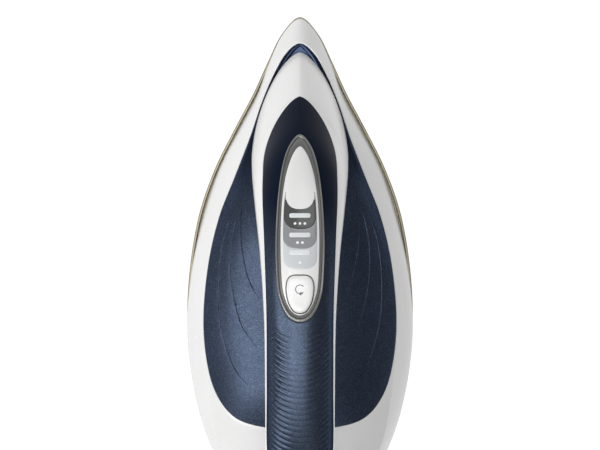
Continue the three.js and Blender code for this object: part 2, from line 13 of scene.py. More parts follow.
import bmesh
import bpy
import numpy as np
from mathutils import Matrix, Vector

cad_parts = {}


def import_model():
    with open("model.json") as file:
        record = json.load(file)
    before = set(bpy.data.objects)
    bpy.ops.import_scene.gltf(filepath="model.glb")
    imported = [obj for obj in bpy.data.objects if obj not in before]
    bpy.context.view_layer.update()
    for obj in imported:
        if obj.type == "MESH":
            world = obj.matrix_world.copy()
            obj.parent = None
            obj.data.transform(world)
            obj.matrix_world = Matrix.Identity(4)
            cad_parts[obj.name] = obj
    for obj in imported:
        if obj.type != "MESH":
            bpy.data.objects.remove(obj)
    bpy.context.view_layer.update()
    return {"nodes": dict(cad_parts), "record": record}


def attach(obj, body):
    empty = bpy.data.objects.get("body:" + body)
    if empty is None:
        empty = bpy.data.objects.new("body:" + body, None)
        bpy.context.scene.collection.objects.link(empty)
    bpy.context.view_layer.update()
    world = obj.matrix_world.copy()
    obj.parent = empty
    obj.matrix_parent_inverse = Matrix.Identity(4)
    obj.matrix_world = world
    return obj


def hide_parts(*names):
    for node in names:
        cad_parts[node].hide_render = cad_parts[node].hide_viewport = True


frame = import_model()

LOG = logging.getLogger("iron")
MM = 0.001

Array = np.ndarray
Mesh = bmesh.types.BMesh
Socket = bpy.types.NodeSocket
Material = bpy.types.Material
Place = Callable[[Array, Array], Array]
Path = tuple[tuple[float, float], ...]
Points = Sequence[tuple[float, float]]
Colour = tuple[float, float, float]


# ------------------------------------------------------------------ curves


def spline(controls: Sequence, at: Array, closed: bool) -> Array:
    """Runs a uniform Catmull-Rom curve through control points.

    Args:
        controls: The control points, one per row.
        at: Where to read the curve, counted in control points.
        closed: Whether the last point joins the first.

    Returns:
        One row of coordinates for each value of at.
    """
    points = np.asarray(controls, float)
    at = np.asarray(at, float)
    if closed:
        base = np.floor(at).astype(int)
        before, start, end, after = (points[(base + k) % len(points)] for k in (-1, 0, 1, 2))
    else:
        padded = np.vstack([2 * points[0] - points[1], points, 2 * points[-1] - points[-2]])
        base = np.clip(np.floor(at).astype(int), 0, len(points) - 2)
        before, start, end, after = (padded[base + k] for k in range(4))
    share = (at - base)[..., None]
    slope = end - before
    bend = 2 * before - 5 * start + 4 * end - after
    twist = 3 * start - before - 3 * end + after
    return 0.5 * (2 * start + slope * share + bend * share**2 + twist * share**3)


def smoothstep(value: Array, low: float, high: float) -> Array:
    """Eases from 0 at low to 1 at high."""
    share = np.clip((value - low) / (high - low), 0, 1)
    return share * share * (3 - 2 * share)


def stack(*columns: Array) -> Array:
    """Joins coordinates into rows of points, spreading single numbers over all of them."""
    return np.stack(np.broadcast_arrays(*columns), -1).astype(float)


def read_profile(profile: Points, v: Array) -> Array:
    """Reads both columns of a profile, from its first point at v = 0 to its last at v = 1."""
    columns = np.array(profile, float).T
    along = v * (columns.shape[1] - 1)
    return np.array([np.interp(along, np.arange(columns.shape[1]), column) for column in columns])


def close_in(first: Array, last: Array, before: Callable[[Array], Array], rounds: int) -> Array:
    """Halves ranges again and again, and returns the last values where a test still holds."""
    for _ in range(rounds):
        middle = (first + last) / 2
        holds = before(middle)
        first, last = np.where(holds, middle, first), np.where(holds, last, middle)
    return first


class Outline:
    """A smooth closed plan outline, mirrored about the iron's middle plane."""

    def __init__(self, half: Points) -> None:
        """Takes the right-hand half, from the nose to the tail."""
        right = np.array(half, float)
        self.controls = np.vstack([right, right[-2:0:-1] * (-1, 1)])
        self.tail = len(right) - 1

    def at(self, share: Array, grow: float = 0.0) -> Array:
        """Reads the outline.

        Args:
            share: 0 at the nose, 1 at the tail and 2 at the nose again.
            grow: How far outwards of the outline to stay.

        Returns:
            Rows of [x, y].
        """
        share = np.asarray(share, float)
        place = spline(self.controls, share * self.tail, True)
        ahead = spline(self.controls, (share + 0.002) * self.tail, True)
        along = ahead - spline(self.controls, (share - 0.002) * self.tail, True)
        along /= np.linalg.norm(along, axis=-1, keepdims=True)
        return place + np.asarray(grow)[..., None] * stack(-along[..., 1], along[..., 0])

    def half_width(self, y: Array, grow: float = 0.0) -> Array:
        """Half the outline's width at y."""
        side = self.at(np.linspace(0, 1, 1500), grow)
        return np.interp(-np.asarray(y, float), -side[:, 1], side[:, 0])


# ------------------------------------------------------------------ the iron's form


class BodyForm:
    """The skirt's walls and the domed deck over them, the same surfaces as the CAD frame's."""

    SOLE = Outline([
        (0, 138), (10.2, 128.5), (18, 113), (26, 95.5), (36.6, 75.5), (47.4, 53.6), (56, 28.5), (61, -1),
        (62.4, -31), (59.5, -58), (52.5, -82), (41.5, -101), (27, -113), (12, -118.5), (0, -119.5),
    ])
    SKIRT = Outline([
        (0, 136.6), (9.6, 128), (17.2, 112), (23.6, 95), (32.8, 77), (44, 55), (53, 29), (59.6, -1),
        (62.2, -32), (59.4, -62), (52.8, -89), (42.8, -111), (30, -128), (16, -135), (0, -136),
    ])
    CREASE = Outline([
        (0, 122.4), (8, 117), (14.9, 104.8), (21.2, 90), (27.5, 71.2), (36, 49), (44.5, 27), (50.2, 1),
        (52.6, -30), (50.2, -58), (46.2, -85), (39, -107), (28, -124), (14.5, -132.4), (0, -134),
    ])
    COVER = Outline([
        (0, 121.5), (7.4, 116.1), (14.2, 104.2), (20.5, 89.4), (26.8, 70.8), (35.3, 48.7), (43.7, 26.7),
        (49.4, 1), (51.8, -28), (49.6, -52), (43.9, -68.8), (33.5, -80), (17, -84.3), (0, -84.8),
    ])
    SKIRT_Z = 7.0
    CREASE_Z = 27.8
    CREASE_RISE = 0.058
    DECK_CROWN = 20.0
    BULGE = 1.2

    def crease_z(self, y: Array) -> Array:
        """Height of the skirt's top edge at y."""
        return self.CREASE_Z - self.CREASE_RISE * y

    def deck_z(self, x: Array, y: Array) -> Array:
        """Height of the domed deck over points of the plan."""
        across = np.minimum(1, np.abs(x) / np.maximum(self.CREASE.half_width(y), 0.5))
        rise = smoothstep(118 - y, 0, 108) * (1 - smoothstep(-y, 60, 136))
        return self.crease_z(y) + self.DECK_CROWN * rise * (1 - across**2.4)

    def wall(self, share: Array, level: Array, grow: float = 0.0) -> Array:
        """Reads the skirt's side wall.

        Args:
            share: The place along the outline, as in Outline.at.
            level: 0 at the bottom edge, 1 at the crease.
            grow: How far outwards of the wall to stay.

        Returns:
            Rows of [x, y, z].
        """
        bottom, top = self.SKIRT.at(share, grow), self.CREASE.at(share, grow)
        flat = bottom + (top - bottom) * level[..., None]
        swell = 1 + self.BULGE * 4 * level * (1 - level) / 60
        height = self.SKIRT_Z + (self.crease_z(top[..., 1]) - self.SKIRT_Z) * level
        return stack(flat[..., 0] * swell, flat[..., 1], height)


@dataclass(frozen=True)
class Section:
    """The handle's cross-sections at a set of stations, one value per station."""

    centre: Array
    arm: Array
    reach: Array
    half: Array
    power: Array
    split: Array

    def place(self, across: Array, up: Array) -> Array:
        """Turns places on the sections into rows of [x, y, z]."""
        flat = self.centre + self.arm * up[..., None]
        return stack(across, flat[..., 0], flat[..., 1])


class HandleForm:
    """The loop handle as a run of superellipse sections.

    It is the CAD frame's surface, but for the outer z of the highest station, which is 0.12 mm lower.
    """

    REAR_POWER = 2.2
    LINING_SHARE = 0.68
    TOP = (1.3, 7.9)
    # outer y and z, inner y and z, half width, front power, grip cover's lower edge as a share of the reach
    STATIONS = (
        (119.8, 16, 9, 16, 26, 1.6, 1.9),
        (103.6, 47, 11, 50, 25.6, 1.5, 1.7),
        (82, 79, 10, 77, 24.2, 1.6, 0.66),
        (58, 107, 4, 96, 22.3, 1.9, 0.5),
        (22, 130, -10, 106.5, 19.6, 2.3, 0.5),
        (-18, 139, -30, 110, 17.7, 2.3, 0.43),
        (-56, 140.88, -56, 110.5, 17.2, 2.3, 0.38),
        (-92, 136, -82, 107, 17.2, 2.3, 0.42),
        (-119, 121, -100, 93, 18.6, 2.3, 1.5),
        (-129, 92, -106, 72, 20.5, 2.5, 1.9),
        (-131.5, 58, -107, 50, 23, 2.7, 1.9),
        (-132, 22, -106, 18, 26, 2.8, 1.9),
    )

    def section(self, station: Array) -> Section:
        """Reads the cross-sections at station numbers."""
        row = spline(self.STATIONS, station, False)
        outer, inner = row[..., 0:2], row[..., 2:4]
        arm = (outer - inner) / 2
        reach = np.linalg.norm(arm, axis=-1)
        return Section((outer + inner) / 2, arm / reach[..., None], reach, *np.moveaxis(row[..., 4:7], -1, 0))

    def surface(self, station: Array, angle: Array, grow: float = 0.0) -> Array:
        """Reads the handle's surface.

        Args:
            station: Station numbers, nose foot to heel foot.
            angle: 0 on the outer profile and pi on the finger side, growing towards +X.
            grow: How far outwards of the surface to stay.

        Returns:
            Rows of [x, y, z].
        """
        cut = self.section(station)
        cos, sin = np.cos(angle), np.sin(angle)
        power = 2 / np.where(cos > 0, cut.power, self.REAR_POWER)
        up = np.sign(cos) * np.abs(cos) ** power * (cut.reach + grow)
        return cut.place(np.sign(sin) * np.abs(sin) ** power * (cut.half + grow), up)

    def split_angle(self, station: Array, clearance: float = 0.0) -> Array:
        """Angle of the joint between the frame and the grip cover, 0 where the frame runs right across."""
        cut = self.section(station)
        level = np.clip(cut.split + clearance / cut.reach, 0, 1)
        return np.arccos(level ** (cut.power / 2))

    def lining_angle(self, clearance: float = 0.0) -> float:
        """Angle of the joint between the frame and the lining on the finger side."""
        return math.pi - math.asin(self.LINING_SHARE ** (self.REAR_POWER / 2)) - clearance

    def grip_ends(self, clearance: float) -> tuple[float, float]:
        """Station numbers of the grip cover's front apex and of its rear end."""
        stations = np.linspace(1, 8, 4000)
        open_here = stations[self.split_angle(stations, clearance) > 0]
        return float(open_here[0]), float(open_here[-1])

    def _over(self, station: Array, x: Array, grow: float) -> Array:
        """Places on the upper surface at given stations and distances from the middle."""
        cut = self.section(station)
        share = np.minimum(np.abs(x) / (cut.half + grow), 0.9999)
        return cut.place(x, (cut.reach + grow) * (1 - share**cut.power) ** (1 / cut.power))

    def solve(self, x: Array, goal: Array, axis: int, low: float, high: float, grow: float = 0.0) -> Array:
        """Finds the places on the upper or rear surface where one coordinate has a given value.

        Args:
            x: Distances from the middle plane.
            goal: The wanted values of the coordinate.
            axis: 1 for y or 2 for z, which falls as the station number grows.
            low: The first station number to look at.
            high: The last station number to look at.
            grow: How far outwards of the surface to stay.

        Returns:
            Rows of [x, y, z].
        """
        x, goal = np.broadcast_arrays(np.asarray(x, float), np.asarray(goal, float))
        found = close_in(
            np.full(x.shape, low), np.full(x.shape, high),
            lambda station: self._over(station, x, grow)[..., axis] > goal, 30,
        )
        return self._over(found, x, grow)

    def skin(self, x: Array, y: Array, rise: Array = 0.0) -> Array:
        """Places on the upper surface over points of the plan, raised square to the surface."""
        step = 0.2
        here, right, left, ahead, behind = (
            self.solve(x + step * across, y + step * along, 1, *self.TOP)
            for across, along in ((0, 0), (1, 0), (-1, 0), (0, 1), (0, -1))
        )
        slope_x, slope_y = (right - left)[..., 2], (ahead - behind)[..., 2]
        normal = stack(-slope_x / (2 * step), -slope_y / (2 * step), 1)
        normal /= np.linalg.norm(normal, axis=-1, keepdims=True)
        return here + normal * np.asarray(rise)[..., None]


BODY = BodyForm()
HANDLE = HandleForm()


# ------------------------------------------------------------------ meshes


def sheet(columns: int, rows: int, place: Place) -> Mesh:
    """Makes a grid of faces and moves its vertices onto a surface.

    Args:
        columns: Faces along u.
        rows: Faces along v.
        place: Turns u and v, each from 0 to 1, into rows of [x, y, z] in millimetres.

    Returns:
        The mesh, in metres, with vertices that met merged into one.
    """
    mesh = bmesh.new()
    bmesh.ops.create_grid(mesh, x_segments=columns, y_segments=rows, size=0.5)
    flat = np.array([vertex.co[:] for vertex in mesh.verts])
    for vertex, place_mm in zip(mesh.verts, place(flat[:, 0] + 0.5, flat[:, 1] + 0.5)):
        vertex.co = place_mm * MM
    weld(mesh)
    return mesh


def weld(mesh: Mesh) -> None:
    """Merges vertices that lie on each other and drops faces that this closes up."""
    bmesh.ops.remove_doubles(mesh, verts=mesh.verts, dist=2e-6)
    bmesh.ops.dissolve_degenerate(mesh, edges=mesh.edges, dist=1e-7)


def cap(mesh: Mesh) -> None:
    """Closes every open edge loop with a face."""
    bmesh.ops.holes_fill(mesh, edges=[edge for edge in mesh.edges if edge.is_boundary], sides=0)


def mirrored(mesh: Mesh) -> Mesh:
    """Adds the left-hand half to a right-hand one."""
    bmesh.ops.mirror(mesh, geom=mesh.verts[:] + mesh.edges[:] + mesh.faces[:], axis="X", merge_dist=1e-5)
    weld(mesh)
    return mesh


def block(centre: Sequence[float], size: Sequence[float], bevel: float = 0.0) -> Mesh:
    """Makes a box with rounded edges."""
    mesh = bmesh.new()
    bmesh.ops.create_cube(mesh, size=MM)
    bmesh.ops.scale(mesh, vec=size, verts=mesh.verts)
    bmesh.ops.translate(mesh, vec=Vector(centre) * MM, verts=mesh.verts)
    if bevel:
        round_edges(mesh, mesh.edges[:], bevel)
    return mesh


def round_edges(mesh: Mesh, edges: Sequence, width: float, segments: int = 3) -> None:
    """Rounds some edges of a mesh."""
    bmesh.ops.bevel(
        mesh, geom=list(edges), offset=width * MM, offset_type="OFFSET", affect="EDGES", segments=segments,
        profile=0.5, material=-1, clamp_overlap=True,
    )


def lathe(profile: Points, matrix: Matrix, steps: int = 64) -> Mesh:
    """Turns a profile of [radius, height] about Z, then places it.

    Args:
        profile: Points in millimetres; a closed one makes a ring, and one that ends on the axis a solid.
        matrix: Where to put it, in metres.
        steps: Faces around.

    Returns:
        The turned mesh.
    """
    mesh = bmesh.new()
    points = [mesh.verts.new((radius * MM, 0, height * MM)) for radius, height in profile]
    edges = [mesh.edges.new(pair) for pair in zip(points, points[1:])]
    bmesh.ops.spin(
        mesh, geom=points + edges, cent=(0, 0, 0), axis=(0, 0, 1), angle=2 * math.pi, steps=steps,
        use_merge=True,
    )
    weld(mesh)
    bmesh.ops.transform(mesh, matrix=matrix, verts=mesh.verts)
    return mesh


@dataclass
class Make:
    """How a mesh becomes a finished piece."""

    name: str
    finish: Material
    body: str = "handset"
    slot: str = "white_plastic"
    replaces: tuple[str, ...] = ()
    inside: Optional[tuple[float, float, float]] = None
    wall: float = 0.0
    edge: float = 0.0
    edge_angle: float = 40.0
    smooth_angle: float = 38.0
    cutters: list[Mesh] = field(default_factory=list)

    def piece(self, mesh: Mesh) -> bpy.types.Object:
        """Gives a mesh its wall, cuts, rounded edges and finish, and ties it to its body.

        Args:
            mesh: The mesh, in metres; it is used up.

        Returns:
            The finished object, at the origin.
        """
        bmesh.ops.recalc_face_normals(mesh, faces=mesh.faces)
        if self.inside is not None:
            self._face_away(mesh)
        made = self._object(self.name, mesh)
        if self.wall:
            shell = made.modifiers.new("wall", "SOLIDIFY")
            shell.thickness, shell.offset, shell.use_even_offset = self.wall * MM, -1.0, False
        for cutter in self.cutters:
            bmesh.ops.recalc_face_normals(cutter, faces=cutter.faces)
        tools = [self._object(self.name + "_cutter", cutter) for cutter in self.cutters]
        for tool in tools:
            cut = made.modifiers.new("cut", "BOOLEAN")
            cut.operation, cut.solver, cut.object = "DIFFERENCE", "MANIFOLD", tool
        if self.edge:
            round_off = made.modifiers.new("edge", "BEVEL")
            round_off.width, round_off.segments = self.edge * MM, 2
            round_off.limit_method, round_off.angle_limit = "ANGLE", math.radians(self.edge_angle)
        self._apply(made)
        for tool in tools:
            bpy.data.objects.remove(tool)
        made.data.materials.clear()
        made.data.materials.append(self.finish)
        made.data.shade_smooth()
        made.data.set_sharp_from_angle(angle=math.radians(self.smooth_angle))
        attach(made, self.body)
        if self.replaces:
            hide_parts(*self.replaces)
        LOG.info("%s: %d faces, rides on %s", self.name, len(made.data.polygons), self.body)
        return made

    def _face_away(self, mesh: Mesh) -> None:
        """Turns an open sheet's faces away from the point that is inside it."""
        inside = Vector(self.inside) * MM
        facing = sum(
            (face.calc_center_median() - inside).dot(face.normal) * face.calc_area() for face in mesh.faces
        )
        if facing < 0:
            bmesh.ops.reverse_faces(mesh, faces=mesh.faces)

    @staticmethod
    def _object(name: str, mesh: Mesh) -> bpy.types.Object:
        """Moves a bmesh into a new object of the scene."""
        data = bpy.data.meshes.new(name)
        mesh.normal_update()
        mesh.to_mesh(data)
        mesh.free()
        made = bpy.data.objects.new(name, data)
        bpy.context.scene.collection.objects.link(made)
        return made

    @staticmethod
    def _apply(made: bpy.types.Object) -> None:
        """Applies an object's modifiers."""
        if not made.modifiers:
            return
        final = bpy.data.meshes.new_from_object(made.evaluated_get(bpy.context.evaluated_depsgraph_get()))
        made.modifiers.clear()
        made.data = final


# ------------------------------------------------------------------ finishes


class Signal:
    """An output socket of a node tree, with the arithmetic that the finishes use."""

    def __init__(self, tree: bpy.types.NodeTree, socket: Socket) -> None:
        """Wraps a socket."""
        self.tree, self.socket = tree, socket

    def _math(self, operation: str, *values: "Signal | float") -> "Signal":
        """Adds a Math node that works on some values."""
        node = self.tree.nodes.new("ShaderNodeMath")
        node.operation = operation
        for place, value in enumerate(values):
            if isinstance(value, Signal):
                self.tree.links.new(value.socket, node.inputs[place])
            else:
                node.inputs[place].default_value = value
        return Signal(self.tree, node.outputs[0])

    def __add__(self, other: "Signal | float") -> "Signal":
        """Adds."""
        return self._math("ADD", self, other)

    def __mul__(self, other: "Signal | float") -> "Signal":
        """Multiplies."""
        return self._math("MULTIPLY", self, other)

    def ramp(self, low: float, high: float) -> "Signal":
        """Runs from 0 at low to 1 at high and stays there."""
        node = self.tree.nodes.new("ShaderNodeMapRange")
        node.interpolation_type = "SMOOTHSTEP"
        self.tree.links.new(self.socket, node.inputs["Value"])
        node.inputs["From Min"].default_value = low
        node.inputs["From Max"].default_value = high
        return Signal(self.tree, node.outputs["Result"])


class Recipe:
    """One material under construction."""

    def __init__(self, name: str) -> None:
        """Starts a material with a Principled shader."""
        self.material = bpy.data.materials.new(name)
        self.material.use_nodes = True
        self.tree = self.material.node_tree
        self.shader = self.tree.nodes["Principled BSDF"]
        self.coordinates = self.node("ShaderNodeTexCoord").outputs["Object"]

    def node(
        self, kind: str, settings: Optional[dict] = None, inputs: Optional[dict] = None,
    ) -> bpy.types.Node:
        """Adds a node.

        Args:
            kind: The node's type.
            settings: Its properties, which are set first.
            inputs: Values or links of its sockets, by name or number.

        Returns:
            The node.
        """
        made = self.tree.nodes.new(kind)
        for key, value in (settings or {}).items():
            setattr(made, key, value)
        for key, value in (inputs or {}).items():
            self.feed(made.inputs[key], value)
        return made

    def feed(self, socket: Socket, value: object) -> None:
        """Links or sets a socket."""
        if isinstance(value, Signal):
            value = value.socket
        if isinstance(value, Socket):
            self.tree.links.new(value, socket)
        else:
            socket.default_value = value

    def noise(self, scale: float, detail: float = 2.0, stretch: Sequence[float] = (1, 1, 1)) -> Signal:
        """Even noise around 0.5, with scale in lumps per metre."""
        mapped = self.node("ShaderNodeMapping", inputs={"Vector": self.coordinates, "Scale": stretch})
        made = self.node(
            "ShaderNodeTexNoise", inputs={"Vector": mapped.outputs[0], "Scale": scale, "Detail": detail},
        )
        return Signal(self.tree, made.outputs["Fac"])

    def along(self, axis: int) -> Signal:
        """A coordinate of the place on the iron, in metres."""
        parts = self.node("ShaderNodeSeparateXYZ", inputs={0: self.coordinates})
        return Signal(self.tree, parts.outputs[axis])

    def flecks(self, scale: float) -> Signal:
        """One random number for each small cell of the surface."""
        made = self.node("ShaderNodeTexVoronoi", inputs={"Vector": self.coordinates, "Scale": scale})
        parts = self.node("ShaderNodeSeparateColor", inputs={0: made.outputs["Color"]})
        return Signal(self.tree, parts.outputs[0])

    def blend(
        self, factor: Signal, low: "Colour | Socket", high: Colour,
    ) -> Socket:
        """Mixes two colours."""
        low, high = (part if isinstance(part, Socket) else (*part, 1) for part in (low, high))
        return self.node("ShaderNodeMix", {"data_type": "RGBA"}, {0: factor, 6: low, 7: high}).outputs[2]

    def bump(self, height: Signal, depth: float) -> None:
        """Feeds the shader's normal from a height, with depth in millimetres."""
        made = self.node("ShaderNodeBump", inputs={"Height": height, "Distance": depth * MM, "Strength": 1.0})
        self.feed(self.shader.inputs["Normal"], made.outputs[0])


@dataclass(frozen=True)
class Moulded:
    """A moulded plastic: a clouded base colour, a fine grain, and an optional fleck.

    Its highlights can take a tint, and its metal share and roughness can change over front_y, in metres,
    towards the nose, where its base colour also darkens to a front colour that paints in the shade of surfaces
    sloping away there.
    """

    name: str
    colour: Colour
    roughness: float = 0.3
    coat: float = 0.0
    grain_mm: float = 0.006
    grain_scale: float = 2500.0
    metallic: float = 0.0
    specular: float = 0.5
    cloud: float = 0.05
    fleck: float = 0.0
    fleck_colour: Colour = (0.045, 0.07, 0.125)
    edge_tint: Colour = (1.0, 1.0, 1.0)
    front_shade: Optional[Colour] = None
    front_y: tuple[float, float] = (0.0, 1.0)
    front_metallic: float = 0.9
    front_roughness: float = 0.3

    def material(self) -> Material:
        """Builds the material."""
        recipe = Recipe(self.name)
        dark = tuple((1 - self.cloud) * part for part in self.colour)
        light = tuple(min(1.0, (1 + self.cloud) * part) for part in self.colour)
        base = recipe.blend(recipe.noise(45, 3).ramp(0.3, 0.7), dark, light)
        if self.fleck:
            spark = recipe.flecks(3400).ramp(1 - self.fleck, 1.0)
            base = recipe.blend(spark, base, self.fleck_colour)
        roughness = recipe.noise(300, 4) * 0.1 + (self.roughness - 0.05)
        recipe.shader.inputs["Metallic"].default_value = self.metallic
        # Towards the nose the base colour is blended into the darker front colour, which is painted shade;
        # roughness and metal share change there as well.
        if self.front_shade is not None:
            ahead = recipe.along(1).ramp(*self.front_y)
            base = recipe.blend(ahead, base, self.front_shade)
            roughness = ahead * (self.front_roughness - self.roughness) + roughness
            metallic = ahead * (self.front_metallic - self.metallic) + self.metallic
            recipe.feed(recipe.shader.inputs["Metallic"], metallic)
        recipe.feed(recipe.shader.inputs["Base Color"], base)
        recipe.feed(recipe.shader.inputs["Roughness"], roughness)
        recipe.shader.inputs["Specular IOR Level"].default_value = self.specular
        recipe.shader.inputs["Specular Tint"].default_value = (*self.edge_tint, 1)
        recipe.shader.inputs["Coat Weight"].default_value = self.coat
        recipe.shader.inputs["Coat Roughness"].default_value = 0.12
        recipe.bump(recipe.noise(self.grain_scale, 2), self.grain_mm)
        return recipe.material


@dataclass(frozen=True)
class Worked:
    """A metal: brushed or blasted, with a little tarnish."""

    name: str
    colour: Colour
    roughness: float = 0.3
    metallic: float = 1.0
    brush: Sequence[float] = (1, 1, 1)
    grain_mm: float = 0.01
    grain_scale: float = 900.0

    def material(self) -> Material:
        """Builds the material."""
        recipe = Recipe(self.name)
        tarnish = recipe.noise(60, 4).ramp(0.35, 0.75)
        dull = tuple(0.86 * part for part in self.colour)
        recipe.feed(recipe.shader.inputs["Base Color"], recipe.blend(tarnish, self.colour, dull))
        recipe.shader.inputs["Metallic"].default_value = self.metallic
        grain = recipe.noise(self.grain_scale, 3, self.brush)
        recipe.feed(recipe.shader.inputs["Roughness"], grain * 0.16 + (self.roughness - 0.08))
        recipe.bump(grain, self.grain_mm)
        return recipe.material


class Finish(Enum):
    """Every finish on the iron."""

    WHITE = Moulded("white_gloss", (0.80, 0.80, 0.795), 0.25, 0.2, cloud=0.01)
    # The darker front colour towards the nose is painted shade on the sloping nose and bead; the lower roughness
    # there is real gloss.
    NAVY = Moulded(
        "navy_fleck", (0.042, 0.056, 0.088), 0.42, metallic=0.88, specular=0.04, fleck=0.4,
        fleck_colour=(0.085, 0.11, 0.165), edge_tint=(0.1, 0.11, 0.13), front_shade=(0.028, 0.04, 0.075),
        front_y=(0.035, 0.075), front_metallic=0.9, front_roughness=0.13,
    )
    # The near-black front colour on the handle's front pillar is painted shade of its forward slope.
    GRIP = Moulded(
        "navy_grip", (0.048, 0.063, 0.096), 0.4, grain_mm=0.008, metallic=0.9, specular=0.03, fleck=0.3,
        fleck_colour=(0.09, 0.12, 0.17), edge_tint=(0.1, 0.11, 0.13), front_shade=(0.005, 0.009, 0.021),
        front_y=(-0.01, 0.04), front_metallic=0.0, front_roughness=0.35,
    )
    LIGHT_GREY = Moulded("light_grey_satin", (0.58, 0.60, 0.62), 0.34)
    MID_GREY = Moulded("mid_grey_window", (0.27, 0.28, 0.29), 0.2, 0.5, 0.002)
    DARK_GREY = Moulded("dark_grey_window", (0.075, 0.078, 0.078), 0.2, 0.5, 0.002)
    SEAL = Moulded("seal_grey", (0.12, 0.125, 0.12), 0.3, 0.2, 0.003)
    TRIM = Worked("satin_trim", (0.26, 0.26, 0.25), 0.36, 0.6, (1, 1, 1), 0.0005)
    LAMP = Moulded("milky_lens", (0.72, 0.75, 0.76), 0.25, 0.4, 0.002)
    MARK = Moulded("printed_mark", (0.86, 0.87, 0.88), 0.4)
    DARK_MARK = Moulded("printed_dark_mark", (0.11, 0.12, 0.14), 0.4)
    BLACK = Moulded("black_moulding", (0.02, 0.02, 0.022), 0.5, 0.0, 0.02, 1400.0)
    RUBBER = Moulded("heel_rubber", (0.045, 0.047, 0.052), 0.75, 0.0, 0.03, 900.0)
    SILICONE = Moulded("brick_silicone", (0.36, 0.1, 0.05), 0.6)
    BOARD = Moulded("board_green", (0.02, 0.13, 0.06), 0.35, 0.4)
    SOLE = Worked("champagne_coat", (0.30, 0.27, 0.19), 0.4, 0.5, (1, 1, 1), 0.002, 1600.0)
    CAST = Worked("blasted_casting", (0.55, 0.56, 0.57), 0.55, 0.9, (1, 1, 1), 0.04, 700.0)
    STEEL = Worked("plated_steel", (0.62, 0.63, 0.65), 0.28, 1.0, (1, 1, 6))
    BRASS = Worked("bare_brass", (0.62, 0.46, 0.18), 0.3)


class Palette:
    """Makes each finish once, and gives it to the CAD pieces by their material slots."""

    SLOTS = {
        "coated_sole": Finish.SOLE, "cast_metal": Finish.CAST, "steel": Finish.STEEL, "brass": Finish.BRASS,
        "silicone": Finish.SILICONE, "black_plastic": Finish.BLACK, "white_plastic": Finish.WHITE,
        "navy_plastic": Finish.NAVY, "grip_plastic": Finish.GRIP, "light_grey_plastic": Finish.LIGHT_GREY,
        "mid_grey_plastic": Finish.MID_GREY, "dark_grey_plastic": Finish.DARK_GREY, "clear_trim": Finish.TRIM,
        "lamp_lens": Finish.LAMP, "circuit_board": Finish.BOARD, "rubber_pad": Finish.RUBBER,
    }

    def __init__(self) -> None:
        """Builds every material."""
        self.materials = {finish: finish.value.material() for finish in Finish}

    def __getitem__(self, finish: Finish) -> Material:
        """The material of a finish."""
        return self.materials[finish]

    def dress_frame(self) -> None:
        """Gives every CAD piece the material of its slot."""
        for part in frame["record"]["subparts"]:
            made = frame["nodes"][part["node"]]
            material = self[self.SLOTS[part["material_slot"]]]
            for slot in made.material_slots:
                slot.material = material
            if not made.material_slots:
                made.data.materials.append(material)


# ------------------------------------------------------------------ soleplate and body


@dataclass
class Soleplate:
    """The coated soleplate: a shallow tray with a turned-up rim and steam holes."""

    palette: Palette
    steps: int = 300
    hole_radius: float = 1.5
    sink_radius: float = 2.9
    middle_holes: Path = ((0.0, 101.0), (0.0, 87.0))
    # inset from the outline, first and last share of it, holes on each side
    hole_rows: tuple[tuple[float, float, float, int], ...] = ((13, 0.165, 0.5, 8), (24, 0.25, 0.47, 5))
    # inset from the outline and height
    rim: Path = (
        (1.7, 2.4), (1.6, 6.1), (1.4, 6.4), (0.7, 6.4), (0.3, 6.1), (0.2, 5.4), (0.3, 3.2), (0.6, 2.0),
        (1.2, 1.1), (1.9, 0.4), (2.9, 0),
    )

    def holes(self) -> list[tuple[float, float]]:
        """Places of the steam holes: two rows along each side, and two holes in the middle."""
        places = list(self.middle_holes)
        for inset, start, end, count in self.hole_rows:
            for x, y in BODY.SOLE.at(np.linspace(start, end, count), -inset):
                places += [(x, y), (-x, y)]
        return places

    def drill(self, wide: float, narrow: float, low: float, high: float) -> Mesh:
        """One mesh that holds a drill for every steam hole.

        Args:
            wide: The drill's radius at its low end.
            narrow: The drill's radius at its high end.
            low: Height of the low end.
            high: Height of the high end.

        Returns:
            The drills, as separate closed bodies.
        """
        mesh = bmesh.new()
        turn = Matrix.Rotation(0.1, 4, "Z")
        for x, y in self.holes():
            bmesh.ops.create_cone(
                mesh, cap_ends=True, segments=16, radius1=wide * MM, radius2=narrow * MM,
                depth=(high - low) * MM, matrix=Matrix.Translation(Vector((x, y, (low + high) / 2)) * MM) @ turn,
            )
        return mesh

    def build(self) -> None:
        """Makes the soleplate."""

        def place(u: Array, v: Array) -> Array:
            """The rim's section, swept round the outline."""
            inset, height = read_profile(self.rim, v)
            flat = BODY.SOLE.at(2 * u, -inset)
            return stack(flat[:, 0], flat[:, 1], height)

        mesh = sheet(self.steps, len(self.rim) - 1, place)
        cap(mesh)
        Make(
            "soleplate_coated", self.palette[Finish.SOLE], slot="coated_sole", replaces=("sole_plate",),
            cutters=[
                self.drill(self.hole_radius, self.hole_radius, -1, 4),
                self.drill(self.sink_radius, self.hole_radius, -0.35, 0.8),
            ],
            smooth_angle=14,
        ).piece(mesh)


